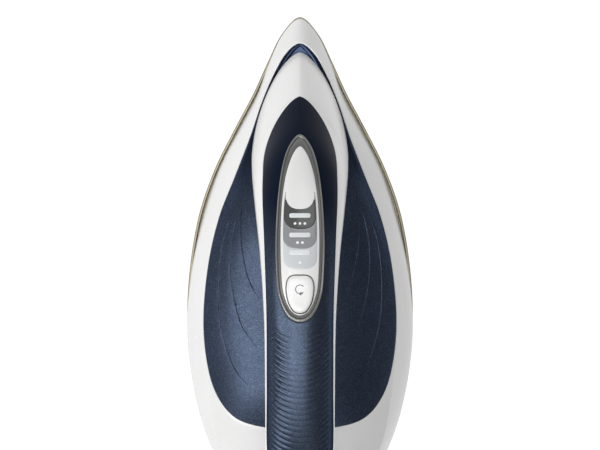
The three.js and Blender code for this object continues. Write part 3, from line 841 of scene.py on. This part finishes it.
@dataclass
class Skirt:
    """The white side band, its crease and the white deck round the heel."""

    palette: Palette
    steps: int = 320
    band_rows: int = 14
    deck_rows: int = 16
    gap: float = 0.45

    def _cover_edge(self, share: Array) -> Array:
        """The cover's outline that pairs with a place on the crease, a gap outside it."""
        folded = np.where(share > 1, 2 - share, share)
        crease_point = folded * BODY.CREASE.tail
        paired = np.where(crease_point < 8, crease_point, 8 + (crease_point - 8) * 5 / 6)
        flat = BODY.COVER.at(paired / BODY.COVER.tail, self.gap)
        return flat * stack(np.where(share > 1, -1, 1), 1)

    def build(self) -> None:
        """Makes the skirt."""
        rows = self.band_rows + self.deck_rows
        crease_at = self.band_rows / rows

        def place(u: Array, v: Array) -> Array:
            """Up the band to the crease, then inwards over the deck."""
            share = 2 * u
            level = np.minimum(v / crease_at, 1)
            inwards = np.clip((v - crease_at) / (1 - crease_at), 0, 1)
            wall = BODY.wall(share, level)
            flat = wall[:, :2] + (self._cover_edge(share) - wall[:, :2]) * inwards[:, None]
            on_deck = BODY.deck_z(flat[:, 0], flat[:, 1])
            return stack(flat[:, 0], flat[:, 1], np.where(inwards > 0, on_deck, wall[:, 2]))

        Make(
            "skirt_band", self.palette[Finish.WHITE], replaces=("skirt_shell",), inside=(0, 0, 10), wall=2.2,
            edge=0.45, edge_angle=50,
        ).piece(sheet(self.steps, rows, place))


@dataclass
class BodyCover:
    """The navy deck cover, with three nested louvre lines on each side."""

    palette: Palette
    columns: int = 130
    rows: int = 270
    step: float = 0.14
    ramp: float = 4.0
    lip: float = 0.8
    slot_width: float = 0.6
    slot_depth: float = 1.4
    dip: float = 0.6
    bead: float = 0.55
    bead_width: float = 1.5
    grow: float = 0.2
    louvres: tuple[Path, ...] = (
        (
            (32.2, 37.5), (38.0, 26), (41.6, 14), (43.6, -1), (43.5, -22), (40.4, -38.5), (35.2, -53),
            (27.6, -62),
        ),
        ((31.6, 36.0), (34.6, 26), (36.9, 14), (37.3, 1), (35.6, -14), (31.2, -30), (23.6, -41)),
        ((31.0, 34.5), (31.7, 24), (31.2, 12), (28.8, -1), (25.6, -9.5), (22.0, -15.6)),
    )
    leaf: Path = (
        (50, 2), (44.6, 14), (36.8, 32), (31.6, 41), (27, 27), (21.5, 12), (12, -4),
    )

    def _relief(self, x: Array, y: Array) -> Array:
        """How far the cover stands over the deck: louvre steps, the leaf's front slope and the bead."""
        height = np.zeros(x.shape)
        here = stack(np.abs(x), y)
        for line in self.louvres:
            path = spline(line, np.linspace(0, len(line) - 1, 160), False)
            offset = here[:, None, :] - path[None, :, :]
            distance = np.linalg.norm(offset, axis=-1)
            nearest = distance.argmin(axis=1)
            away = distance.min(axis=1)
            inner = offset[np.arange(len(x)), nearest, 0] < 0
            share = nearest / (len(path) - 1)
            fade = smoothstep(share, 0.0, 0.3) * smoothstep(1 - share, 0.0, 0.3)
            height -= self.step * fade * np.exp(-((away / np.where(inner, self.ramp, self.lip)) ** 2))
        border = spline(self.leaf, np.linspace(0, len(self.leaf) - 1, 200), False)
        away = np.linalg.norm(here[:, None, :] - border[None, :, :], axis=-1).min(axis=1)
        border_y = np.interp(here[:, 0], border[::-1, 0], border[::-1, 1])
        height -= np.where(y > border_y, self.dip * (1 - np.exp(-away / 4)), 0)
        inwards = BODY.COVER.half_width(y) - np.abs(x)
        bump = np.sqrt(np.clip(1 - ((inwards - self.bead_width) / self.bead_width) ** 2, 0, 1))
        return height + self.bead * bump * smoothstep(y, 40, 80)

    def _slot(self, line: Points, side: int) -> Mesh:
        """The cutter of one louvre slot, a thin blade that follows the deck."""

        def place(u: Array, v: Array) -> Array:
            """The blade's section along the line."""
            end = len(line) - 1
            path, ahead = spline(line, u * end, False), spline(line, u * end + 0.01, False)
            along = ahead - path
            along /= np.linalg.norm(along, axis=1, keepdims=True)
            width = self.slot_width * np.clip(5 * np.minimum(u, 1 - u), 0.25, 1) / 2
            corner = np.round(4 * v) % 4
            across = np.where((corner == 1) | (corner == 2), width, -width)
            drop = np.where(corner >= 2, -self.slot_depth, 1.5)
            flat = path + stack(-along[:, 1], along[:, 0]) * across[:, None]
            ground = BODY.deck_z(path[:, 0], path[:, 1]) + self._relief(path[:, 0], path[:, 1])
            return stack(side * flat[:, 0], flat[:, 1], ground + drop)

        mesh = sheet(60, 4, place)
        cap(mesh)
        return mesh

    def build(self) -> None:
        """Makes the cover."""

        def place(u: Array, v: Array) -> Array:
            """Across the cover at each place from its nose to its tail."""
            edge = BODY.COVER.at(v, self.grow)
            x = (2 * u - 1) * np.maximum(edge[:, 0], 0)
            return stack(x, edge[:, 1], BODY.deck_z(x, edge[:, 1]) + self._relief(x, edge[:, 1]))

        Make(
            "cover_louvred", self.palette[Finish.NAVY], slot="navy_plastic", replaces=("body_cover",),
            inside=(0, 0, -200), wall=1.8, edge=0.08, edge_angle=60, smooth_angle=25,
            cutters=[self._slot(line, side) for line in self.louvres for side in (-1, 1)],
        ).piece(sheet(self.columns, self.rows, place))


# ------------------------------------------------------------------ handle


@dataclass
class Handle:
    """The white frame of the loop handle, its lining, and the navy grip cover."""

    palette: Palette
    columns: int = 30
    rows: int = 360
    gap: float = 0.3
    rib_pitch: float = 2.7
    rib_depth: float = 0.38
    rib_half_width: float = 13.9
    rib_bow: float = 5.6
    rib_middle: float = 0.09
    rib_start: float = -30.2
    rib_end: float = -101.0

    def _feet(self, point: Place, u: Array) -> tuple[Array, Array]:
        """Finds the stations where columns of a shell meet the deck.

        Args:
            point: Turns the columns' u and station numbers into places.
            u: The columns.

        Returns:
            The station numbers at the front foot and at the rear foot.
        """
        feet = []
        for low, high, rising in ((0.0, 2.4, True), (9.2, 11.0, False)):

            def before(station: Array, rising: bool = rising) -> Array:
                """Whether the foot comes later than a station."""
                here = point(u, station)
                return (here[:, 2] > BODY.deck_z(here[:, 0], here[:, 1]) + self.gap) != rising

            feet.append(close_in(np.full(u.shape, low), np.full(u.shape, high), before, 26))
        return feet[0], feet[1]

    def _strip(self, point: Place) -> Place:
        """Runs a shell's columns between its two feet."""

        def place(u: Array, v: Array) -> Array:
            """A column, from its front foot to its rear one."""
            low, high = self._feet(point, u)
            return point(u, low + (high - low) * v)

        return place

    def _frame(self) -> None:
        """Makes the white frame."""

        def point(u: Array, station: Array) -> Array:
            """From the grip's joint round to the lining's."""
            start = HANDLE.split_angle(station)
            return HANDLE.surface(station, start + (HANDLE.lining_angle() - start) * u)

        mesh = mirrored(sheet(self.columns, self.rows, self._strip(point)))
        Make(
            "handle_shell", self.palette[Finish.WHITE], replaces=("handle_frame",), wall=2.0, edge=0.4,
            edge_angle=55,
        ).piece(mesh)

    def _ribs(self, places: Array) -> Array:
        """How far the grooves between the U-shaped ribs sink the grip cover."""
        x = np.abs(places[:, 0])
        line = places[:, 1] - self.rib_bow * (x / self.rib_half_width) ** 2
        wave = 0.5 - 0.5 * np.cos(2 * math.pi * (line - self.rib_start) / self.rib_pitch)
        across = self.rib_middle + (1 - self.rib_middle) * smoothstep(x, 3, 10)
        across *= 1 - smoothstep(x, self.rib_half_width - 0.5, self.rib_half_width)
        ends = smoothstep(self.rib_start - line, 0.0, 2.0) * smoothstep(line - self.rib_end, 0.0, 4.0)
        return self.rib_depth * wave**3.5 * across * ends

    def _grip(self, panel: Mesh) -> None:
        """Makes the grip cover, with its seat for the control panel."""
        low, high = HANDLE.grip_ends(self.gap)

        def place(u: Array, v: Array) -> Array:
            """Across the cover at stations between its two ends."""
            station = low + (high - low) * v
            angle = HANDLE.split_angle(station, self.gap) * (2 * u - 1)
            flush = HANDLE.surface(station, angle)
            inner = HANDLE.surface(station, angle, -1.0)
            return flush + (inner - flush) * self._ribs(flush)[:, None]

        Make(
            "grip_ribbed", self.palette[Finish.GRIP], slot="grip_plastic", replaces=("grip_cover",),
            inside=(0, -20, 60), wall=1.8, edge=0.3, edge_angle=60, cutters=[panel],
        ).piece(sheet(64, 620, place))

    def _lining(self) -> None:
        """Makes the lining on the finger side, open where the trigger sits."""
        start = HANDLE.lining_angle(-0.02)

        def point(u: Array, station: Array) -> Array:
            """Across the finger side."""
            return HANDLE.surface(station, start + (2 * math.pi - 2 * start) * u)

        Make(
            "handle_lining_soft", self.palette[Finish.LIGHT_GREY], slot="light_grey_plastic",
            replaces=("handle_lining",), inside=(0, -40, 125), wall=2.0, edge=0.4, edge_angle=60,
            cutters=[block((0, -30.1, 108), (18.4, 49.8, 22), 2.0)],
        ).piece(sheet(30, 150, self._strip(point)))

    def build(self, panel: Mesh) -> None:
        """Makes the handle's three shells."""
        self._frame()
        self._grip(panel)
        self._lining()


# ------------------------------------------------------------------ control panel


@dataclass
class ControlPanel:
    """The panel on the handle: trim, seal, white fascia, three level windows and the mode button."""

    palette: Palette
    steps: int = 160
    bezel: Outline = Outline([
        (0, 68.6), (5.2, 63), (8.6, 52.5), (10.8, 36), (11.8, 14), (11, -6), (9.3, -14.6), (6.4, -20.6),
        (3.2, -23.4), (0, -24.2),
    ])
    seal: Outline = Outline([
        (0, 67), (4.6, 61.8), (7.8, 51.5), (9.8, 35.5), (10.7, 14), (9.9, -5.5), (8.1, -13.6), (5.4, -19),
        (2.7, -21.4), (0, -22.1),
    ])
    fascia: Outline = Outline([
        (0, 62.8), (3.4, 59), (6.2, 51.4), (8, 42.8), (9.2, 31), (9.6, 14), (8.9, -5), (7.2, -12.8),
        (4.8, -17.8), (2.4, -20), (0, -20.6),
    ])
    button: Outline = Outline([
        (0, -1.5), (3.6, -1.7), (5.7, -3.4), (6.5, -6.8), (6.3, -10.6), (5.2, -15), (3.3, -18.2),
        (1.6, -19.3), (0, -19.6),
    ])
    button_y: float = -10.6
    crown: Path = (
        (0, 0.75), (0.2, 0.77), (0.4, 0.82), (0.6, 0.9), (0.78, 0.97), (0.88, 0.95), (0.95, 0.8), (0.99, 0.5),
        (1, 0.1),
    )
    mark_y: float = -8.2
    dot_pitch: float = 2.4
    dot_rise: float = 0.13
    rim: float = 1.25
    zone_ends: tuple[float, ...] = (30.9, 20.8, 11.2, 1.4)
    zone_halves: tuple[float, ...] = (7.1, 8.05, 8.3, 8.2)
    zone_rises: tuple[float, ...] = (8.5, 7.5, 7.0, 6.0)
    lamps: tuple[tuple[str, float, float], ...] = (
        ("high", 27.7, 3.9), ("medium", 18.2, 3.7), ("low", 9.7, 4.9),
    )

    def prism(self, outline: Outline, gap: float) -> Mesh:
        """An upright prism through the handle's top, a little larger than an outline."""

        def place(u: Array, v: Array) -> Array:
            """Its wall."""
            flat = outline.at(2 * u, gap)
            return stack(flat[:, 0], flat[:, 1], 80 + 80 * v)

        mesh = sheet(self.steps, 1, place)
        cap(mesh)
        return mesh

    def _ring(
        self, outer: Outline, inner: Outline, profile: Points, gap: float,
    ) -> Mesh:
        """Sweeps a closed section round the space between two outlines.

        Args:
            outer: The outline at share 0 of the section.
            inner: The outline at share 1.
            profile: The section as [share, rise over the handle's surface].
            gap: Clearance to the inner outline.

        Returns:
            The closed ring.
        """

        def place(u: Array, v: Array) -> Array:
            """The section at each place round the ring."""
            share, rise = read_profile([*profile, profile[0]], v)
            start, end = outer.at(2 * u), inner.at(2 * u, gap)
            flat = start + (end - start) * share[:, None]
            return HANDLE.skin(flat[:, 0], flat[:, 1], rise)

        return sheet(self.steps, len(profile), place)

    def _dome(
        self, outline: Outline, centre_y: float, profile: Points,
    ) -> Mesh:
        """Makes a plate or button from rings that shrink to its centre, above and below.

        Args:
            outline: The plate's edge.
            centre_y: Where the rings shrink to.
            profile: From the top centre to the bottom centre, as [share of the outline, rise].

        Returns:
            The closed plate.
        """

        def place(u: Array, v: Array) -> Array:
            """A ring of the plate at each step of its section."""
            share, rise = read_profile(profile, v)
            flat = (outline.at(2 * u) - (0, centre_y)) * share[:, None] + (0, centre_y)
            return HANDLE.skin(flat[:, 0], flat[:, 1], rise)

        return sheet(self.steps, len(profile) - 1, place)

    def _trim(self) -> None:
        """Makes the trim ring, the seal ring and the fascia."""
        rounded = (
            (0, -1.8), (0, 0.2), (0.08, 0.55), (0.25, 0.8), (0.5, 0.9), (0.75, 0.78), (0.94, 0.45), (1, 0.1),
            (1, -1.8),
        )
        Make("panel_trim", self.palette[Finish.TRIM], slot="clear_trim", replaces=("panel_bezel",)).piece(
            self._ring(self.bezel, self.seal, rounded, 0.15)
        )
        dished = ((0, -1.8), (0, 0.12), (0.06, 0.2), (0.5, 0.1), (0.94, 0.02), (1, -0.1), (1, -1.8))
        Make(
            "panel_surround", self.palette[Finish.SEAL], slot="dark_grey_plastic", replaces=("panel_seal",),
        ).piece(self._ring(self.seal, self.fascia, dished, 0.12))
        flat = [(k / 8, 0.0) for k in range(8)] + [(0.97, -0.02), (1, -0.2), (1, -1.6), (0, -1.6)]
        Make(
            "panel_plate", self.palette[Finish.WHITE], replaces=("panel_fascia",), smooth_angle=25,
            cutters=[self.prism(self.button, 0.55)],
        ).piece(self._dome(self.fascia, 20, flat))

    def _zone_edge(self, x: Array, zone: int) -> Array:
        """The U-shaped lower end of a zone, 0 being the white tongue."""
        share = np.clip(np.abs(x) / self.zone_halves[zone], 0, 1)
        return self.zone_ends[zone] + self.zone_rises[zone] * (1 - (1 - share**2.6) ** (1 / 2.6))

    def _window(self, name: str, finish: Finish, slot: str, zone: int) -> None:
        """Makes the level window between the ends of the zone before and of this one."""
        rises = (-0.8, 0.06, 0.12, 0.12, 0.12, 0.12, 0.06, -0.8)
        stops = (0.0, 0.0, 0.03, 0.3, 0.7, 0.97, 1.0, 1.0)
        marks = np.linspace(0, 1, len(stops))

        def place(u: Array, v: Array) -> Array:
            """Between the two U-shaped ends, inside the fascia's rim."""
            side, along = 2 * np.interp(u, marks, stops) - 1, np.interp(v, marks, stops)
            x = side * 8.0
            for _ in range(6):
                top, bottom = self._zone_edge(x, zone - 1), self._zone_edge(x, zone) + 0.12
                y = top + (bottom - top) * along
                x = side * (self.fascia.half_width(y) - self.rim)
            rise = np.minimum(np.interp(u, marks, rises), np.interp(v, marks, rises))
            return HANDLE.skin(x, y, rise)

        mesh = sheet(7 * 8, 7 * 3, place)
        cap(mesh)
        Make(
            "level_" + name, self.palette[finish], slot=slot, replaces=("level_window_" + name,),
        ).piece(mesh)

    def _lamp(self, name: str, y: float) -> None:
        """Makes one lamp bar, a rounded strip."""
        strip = Outline([(0, 1.1), (4.2, 1.1), (5, 0.8), (5.2, 0), (5, -0.8), (4.2, -1.1), (0, -1.1)])
        strip.controls = strip.controls + (0, y)
        profile = ((0, 0.34), (0.5, 0.34), (0.85, 0.33), (0.97, 0.28), (1, 0.16), (1, -0.6), (0, -0.6))
        Make(
            "lamp_" + name, self.palette[Finish.LAMP], slot="lamp_lens", replaces=("level_lamp_" + name,),
        ).piece(self._dome(strip, y, profile))

    def _dots(self, count: int, y: float, finish: Finish, name: str) -> None:
        """Prints a row of round marks for a steam level."""
        mesh = bmesh.new()
        for k in range(count):
            x = (k - (count - 1) / 2) * self.dot_pitch
            here, ahead = HANDLE.skin(np.array([x, x]), np.array([y, y + 0.5]), np.full(2, self.dot_rise))
            tilt = math.atan2(ahead[2] - here[2], ahead[1] - here[1])
            matrix = Matrix.Translation(Vector(here) * MM) @ Matrix.Rotation(tilt, 4, "X")
            bmesh.ops.create_cone(
                mesh, cap_ends=True, segments=20, radius1=0.7 * MM, radius2=0.66 * MM, depth=0.12 * MM,
                matrix=matrix,
            )
        Make("level_marks_" + name, self.palette[finish], slot="lamp_lens").piece(mesh)

    def _crown_rise(self, x: Array, y: Array) -> Array:
        """How far the button's crown stands over the handle at places on it."""
        share, rise = np.array(self.crown).T
        edge = self.button.at(np.linspace(0, 2, 400)) - (0, self.button_y)
        angles = np.unwrap(np.arctan2(edge[:, 1], edge[:, 0]))
        order = np.argsort(angles % (2 * math.pi))
        reach = np.interp(
            np.arctan2(y - self.button_y, x) % (2 * math.pi), (angles % (2 * math.pi))[order],
            np.linalg.norm(edge, axis=1)[order], period=2 * math.pi,
        )
        return np.interp(np.hypot(x, y - self.button_y) / reach, share, rise)

    def _button(self) -> None:
        """Makes the mode button, the dark gasket round it, and the cycle mark on it."""
        Make("mode_key", self.palette[Finish.WHITE], "mode_button_body", replaces=("mode_button",)).piece(
            self._dome(self.button, self.button_y, [*self.crown, (1, -1.6), (0, -1.6)])
        )
        wide = Outline(self.button.at(np.linspace(0, 1, 15), 0.6))
        band = ((0, -1.2), (0, 0.03), (0.15, 0.07), (0.85, 0.07), (1, 0.03), (1, -1.2))
        Make("mode_gasket", self.palette[Finish.SEAL], slot="dark_grey_plastic").piece(
            self._ring(wide, self.button, band, 0.22)
        )

        def place(u: Array, v: Array) -> Array:
            """Three quarters of a circle, ending in an arrow head."""
            angle = np.radians(40 + 285 * u)
            head = np.clip((u - 0.8) / 0.2, 0, 1)
            width = np.where(u < 0.8, 0.2, 0.8 * (1 - head) + 0.02)
            radius = 2.1 + (2 * v - 1) * width
            x, y = radius * np.cos(angle), self.mark_y + radius * np.sin(angle)
            return HANDLE.skin(x, y, self._crown_rise(x, y) + 0.03)

        Make(
            "mode_mark", self.palette[Finish.DARK_MARK], "mode_button_body", slot="lamp_lens",
            inside=(0, -10, 0), wall=0.25,
        ).piece(sheet(60, 2, place))

    def build(self) -> None:
        """Makes the whole panel."""
        self._trim()
        finishes = (
            ("high", Finish.DARK_GREY, "dark_grey_plastic"),
            ("medium", Finish.MID_GREY, "mid_grey_plastic"),
            ("low", Finish.LIGHT_GREY, "light_grey_plastic"),
        )
        for zone, (name, finish, slot) in enumerate(finishes, 1):
            self._window(name, finish, slot, zone)
        for (name, y, below), count in zip(self.lamps, (3, 2, 1)):
            self._lamp(name, y)
            self._dots(count, y - below, Finish.MARK, name)
        self._button()


# ------------------------------------------------------------------ trigger, heel and gland


@dataclass
class SteamTrigger:
    """The trigger under the grip, pivoted at its front end."""

    palette: Palette
    width: float = 17.2
    profile: Path = (
        (-6.6, 112), (-12, 107.6), (-22, 105), (-34, 104.2), (-46, 105.2), (-52.2, 108), (-52.2, 111.6),
        (-50, 113.5), (-40, 113.6), (-29, 113.6), (-27, 114.2), (-26, 117), (-24, 117.6), (-22, 117),
        (-21, 114.2), (-19, 113.6), (-14.5, 113.8), (-12.4, 116.4), (-9, 117.8), (-6.4, 116),
    )

    def build(self) -> None:
        """Makes the trigger."""
        mesh = bmesh.new()
        steps = 120
        bmesh.ops.create_circle(mesh, cap_ends=True, segments=steps, radius=MM)
        outline = spline(self.profile, np.linspace(0, len(self.profile), steps, endpoint=False), True)
        for vertex, (y, z) in zip(mesh.verts, outline):
            vertex.co = Vector((-self.width / 2, y, z)) * MM
        grown = bmesh.ops.extrude_face_region(mesh, geom=mesh.faces[:])["geom"]
        moved = [item for item in grown if isinstance(item, bmesh.types.BMVert)]
        bmesh.ops.translate(mesh, vec=(self.width * MM, 0, 0), verts=moved)
        bmesh.ops.recalc_face_normals(mesh, faces=mesh.faces)
        rims = [edge for edge in mesh.edges if len({len(face.verts) > 4 for face in edge.link_faces}) == 2]
        round_edges(mesh, rims, 1.1, 4)
        Make(
            "trigger_lever", self.palette[Finish.LIGHT_GREY], "steam_trigger_body", "light_grey_plastic",
            ("steam_trigger",),
        ).piece(mesh)


@dataclass
class Heel:
    """The heel's cover plate, its screws, its rubber pads and the hose gland."""

    palette: Palette
    swell: float = 3.4
    plate: tuple[float, float, float, float] = (-16.0, 16.0, 39.0, 85.0)
    screw_x: float = 9.0
    screw_z: float = 79.0
    screw_y: float = -134.0
    back_y: float = -138.0
    gland: tuple[float, float, float] = (0.0, -117.2, 119.4)
    gland_tilt: float = 0.733

    def _cover(self) -> None:
        """Makes the cover plate, with a shallow field, three vent slots and wells for the two screws."""
        left, right, low, high = self.plate

        def place(u: Array, v: Array) -> Array:
            """Over the rear of the column, swollen outwards."""
            x, z = left + (right - left) * u, low + (high - low) * v
            edge = np.minimum(np.minimum(u, 1 - u) * (right - left), np.minimum(v, 1 - v) * (high - low))
            corner = 0.5 * (1 - smoothstep(edge, 0.0, 2.5))
            return HANDLE.solve(x, z, 2, 7.9, 11.0, self.swell - 0.05) + stack(0, corner, 0)

        slots = [block((0, -134, z), (18, 6, 1.6), 0.7) for z in (46.0, 50.0, 54.0)]
        wells = [
            lathe([(0, -6), (2.75, -6), (2.75, 6), (0, 6)], self._screw_matrix(side), 32) for side in (-1, 1)
        ]
        Make(
            "heel_plate", self.palette[Finish.LIGHT_GREY], slot="light_grey_plastic",
            replaces=("heel_cover",), inside=(0, -100, 62), wall=5.0, edge=0.8, edge_angle=50,
            cutters=slots + wells,
        ).piece(sheet(40, 56, place))

    def _screw_matrix(self, side: int) -> Matrix:
        """Where a heel screw's head sits, facing back."""
        place = Vector((side * self.screw_x, self.screw_y, self.screw_z)) * MM
        return Matrix.Translation(place) @ Matrix.Rotation(math.pi / 2, 4, "X")

    def _screws(self) -> None:
        """Makes the two heel screws, with a cross recess each."""
        head = [(0, 0), (1.5, -0.05), (2.1, -0.35), (2.4, -0.9), (2.4, -4), (0, -4)]
        for name, side in (("left", -1), ("right", 1)):
            matrix = self._screw_matrix(side)
            x, y, z = side * self.screw_x, self.screw_y, self.screw_z
            cross = [block((x, y, z), size) for size in ((2.6, 2.4, 0.55), (0.55, 2.4, 2.6))]
            Make(
                "heel_bolt_" + name, self.palette[Finish.STEEL], slot="steel",
                replaces=("heel_screw_" + name,), cutters=cross,
            ).piece(lathe(head, matrix, 36))

    def _pads(self) -> None:
        """Makes the two rubber pads, with moulded grooves across them."""
        for name, z, wide, depth in (("upper", 64.0, 24.0, 4.0), ("lower", 16.0, 30.0, 3.4)):
            mesh = block((0, self.back_y + depth / 2, z), (wide, depth, 9), 0.7)
            grooves = [block((0, self.back_y, z + k), (wide - 5, 0.9, 0.7)) for k in (-2.4, 0.0, 2.4)]
            Make(
                "heel_rubber_" + name, self.palette[Finish.RUBBER], slot="rubber_pad",
                replaces=("heel_pad_" + name,), cutters=grooves,
            ).piece(mesh)

    def _gland(self) -> None:
        """Makes the hose gland, a ringed collar."""
        profile = [
            (5.2, -11.5), (7.1, -11.5), (7.1, -3), (10.1, -3), (10.5, -2.6), (10.5, 1.0), (10.2, 1.3),
            (9.9, 1.5), (9.9, 2.1), (10.3, 2.4), (10.3, 3.6), (9.7, 4.0), (9.7, 4.6), (10.0, 5.0), (10.0, 6.4),
            (9.6, 7.4), (8.9, 7.9), (8.2, 8.0), (6.2, 8.0), (5.5, 7.7), (5.2, 7.0), (5.2, -11.5),
        ]
        matrix = Matrix.Translation(Vector(self.gland) * MM) @ Matrix.Rotation(self.gland_tilt, 4, "X")
        Make(
            "gland_collar", self.palette[Finish.SEAL], slot="dark_grey_plastic", replaces=("hose_gland",),
        ).piece(lathe(profile, matrix, 72))

    def build(self) -> None:
        """Makes everything on the heel."""
        self._cover()
        self._screws()
        self._pads()
        self._gland()


# ------------------------------------------------------------------ studio


@dataclass
class Studio:
    """The floor, the soft lights and the camera that looks straight down."""

    camera_height: float = 1100.0
    camera_y: float = 23.1
    focal_length: float = 119.04
    sensor_width: float = 36.0
    floor_size: float = 6000.0
    floor_glow: float = 1.0
    floor_bounce: float = 0.85
    floor_gap: float = 0.3
    floor_colour: Colour = (0.1, 0.1, 0.1)
    floor_roughness: float = 0.8
    world_strength: float = 0.2
    aim: tuple[float, float, float] = (0.0, 0.0, 0.06)
    # name, place and size in metres, and power in watts
    lights: tuple[tuple[str, tuple[float, float, float], float, float], ...] = (
        ("key_left", (-1.6, -0.1, 1.6), 1.2, 23),
        ("top_soft", (-0.4, 0.1, 2.6), 1.4, 30),
        ("fill_rear", (0.9, -1.8, 1.6), 1.2, 4),
        ("fill_front", (0.5, 1.9, 1.4), 1.2, 5),
    )

    def _floor(self) -> None:
        """Makes the white floor, which glows less towards the iron than towards the camera."""
        mesh = bmesh.new()
        bmesh.ops.create_grid(mesh, x_segments=2, y_segments=2, size=self.floor_size * MM)
        data = bpy.data.meshes.new("floor")
        mesh.to_mesh(data)
        mesh.free()
        floor = bpy.data.objects.new("floor", data)
        floor.location.z = -self.floor_gap * MM
        bpy.context.scene.collection.objects.link(floor)
        recipe = Recipe("pale_floor")
        recipe.shader.inputs["Base Color"].default_value = (*self.floor_colour, 1)
        recipe.shader.inputs["Roughness"].default_value = self.floor_roughness
        seen = Signal(recipe.tree, recipe.node("ShaderNodeLightPath").outputs["Is Camera Ray"])
        glow = recipe.blend(seen, 3 * (self.floor_bounce,), (1, 1, 1))
        recipe.feed(recipe.shader.inputs["Emission Color"], glow)
        recipe.shader.inputs["Emission Strength"].default_value = self.floor_glow
        floor.data.materials.append(recipe.material)

    def _light(self, name: str, place: Sequence[float], size: float, power: float) -> None:
        """Adds a square soft light that faces the iron."""
        data = bpy.data.lights.new(name, "AREA")
        data.size, data.energy = size, power
        light = bpy.data.objects.new(name, data)
        light.location = place
        light.rotation_euler = (Vector(self.aim) - Vector(place)).to_track_quat("-Z", "Y").to_euler()
        bpy.context.scene.collection.objects.link(light)

    def build(self) -> None:
        """Sets up the studio."""
        scene = bpy.context.scene
        scene.view_settings.view_transform = "Standard"
        self._floor()
        for name, place, size, power in self.lights:
            self._light(name, place, size, power)
        world = bpy.data.worlds.new("studio")
        world.use_nodes = True
        world.node_tree.nodes["Background"].inputs["Color"].default_value = (1, 1, 1, 1)
        world.node_tree.nodes["Background"].inputs["Strength"].default_value = self.world_strength
        scene.world = world
        data = bpy.data.cameras.new("camera")
        data.lens, data.sensor_width = self.focal_length, self.sensor_width
        camera = bpy.data.objects.new("camera", data)
        camera.location = (0, self.camera_y * MM, self.camera_height * MM)
        scene.collection.objects.link(camera)
        scene.camera = camera


def main() -> None:
    """Builds the studio and every piece of the iron, in order."""
    logging.basicConfig(level=logging.INFO, format="%(name)s: %(message)s")
    Studio().build()
    palette = Palette()
    palette.dress_frame()
    Soleplate(palette).build()
    Skirt(palette).build()
    BodyCover(palette).build()
    panel = ControlPanel(palette)
    Handle(palette).build(panel.prism(panel.bezel, 0.25))
    panel.build()
    SteamTrigger(palette).build()
    Heel(palette).build()


if __name__ == "__main__":
    main()
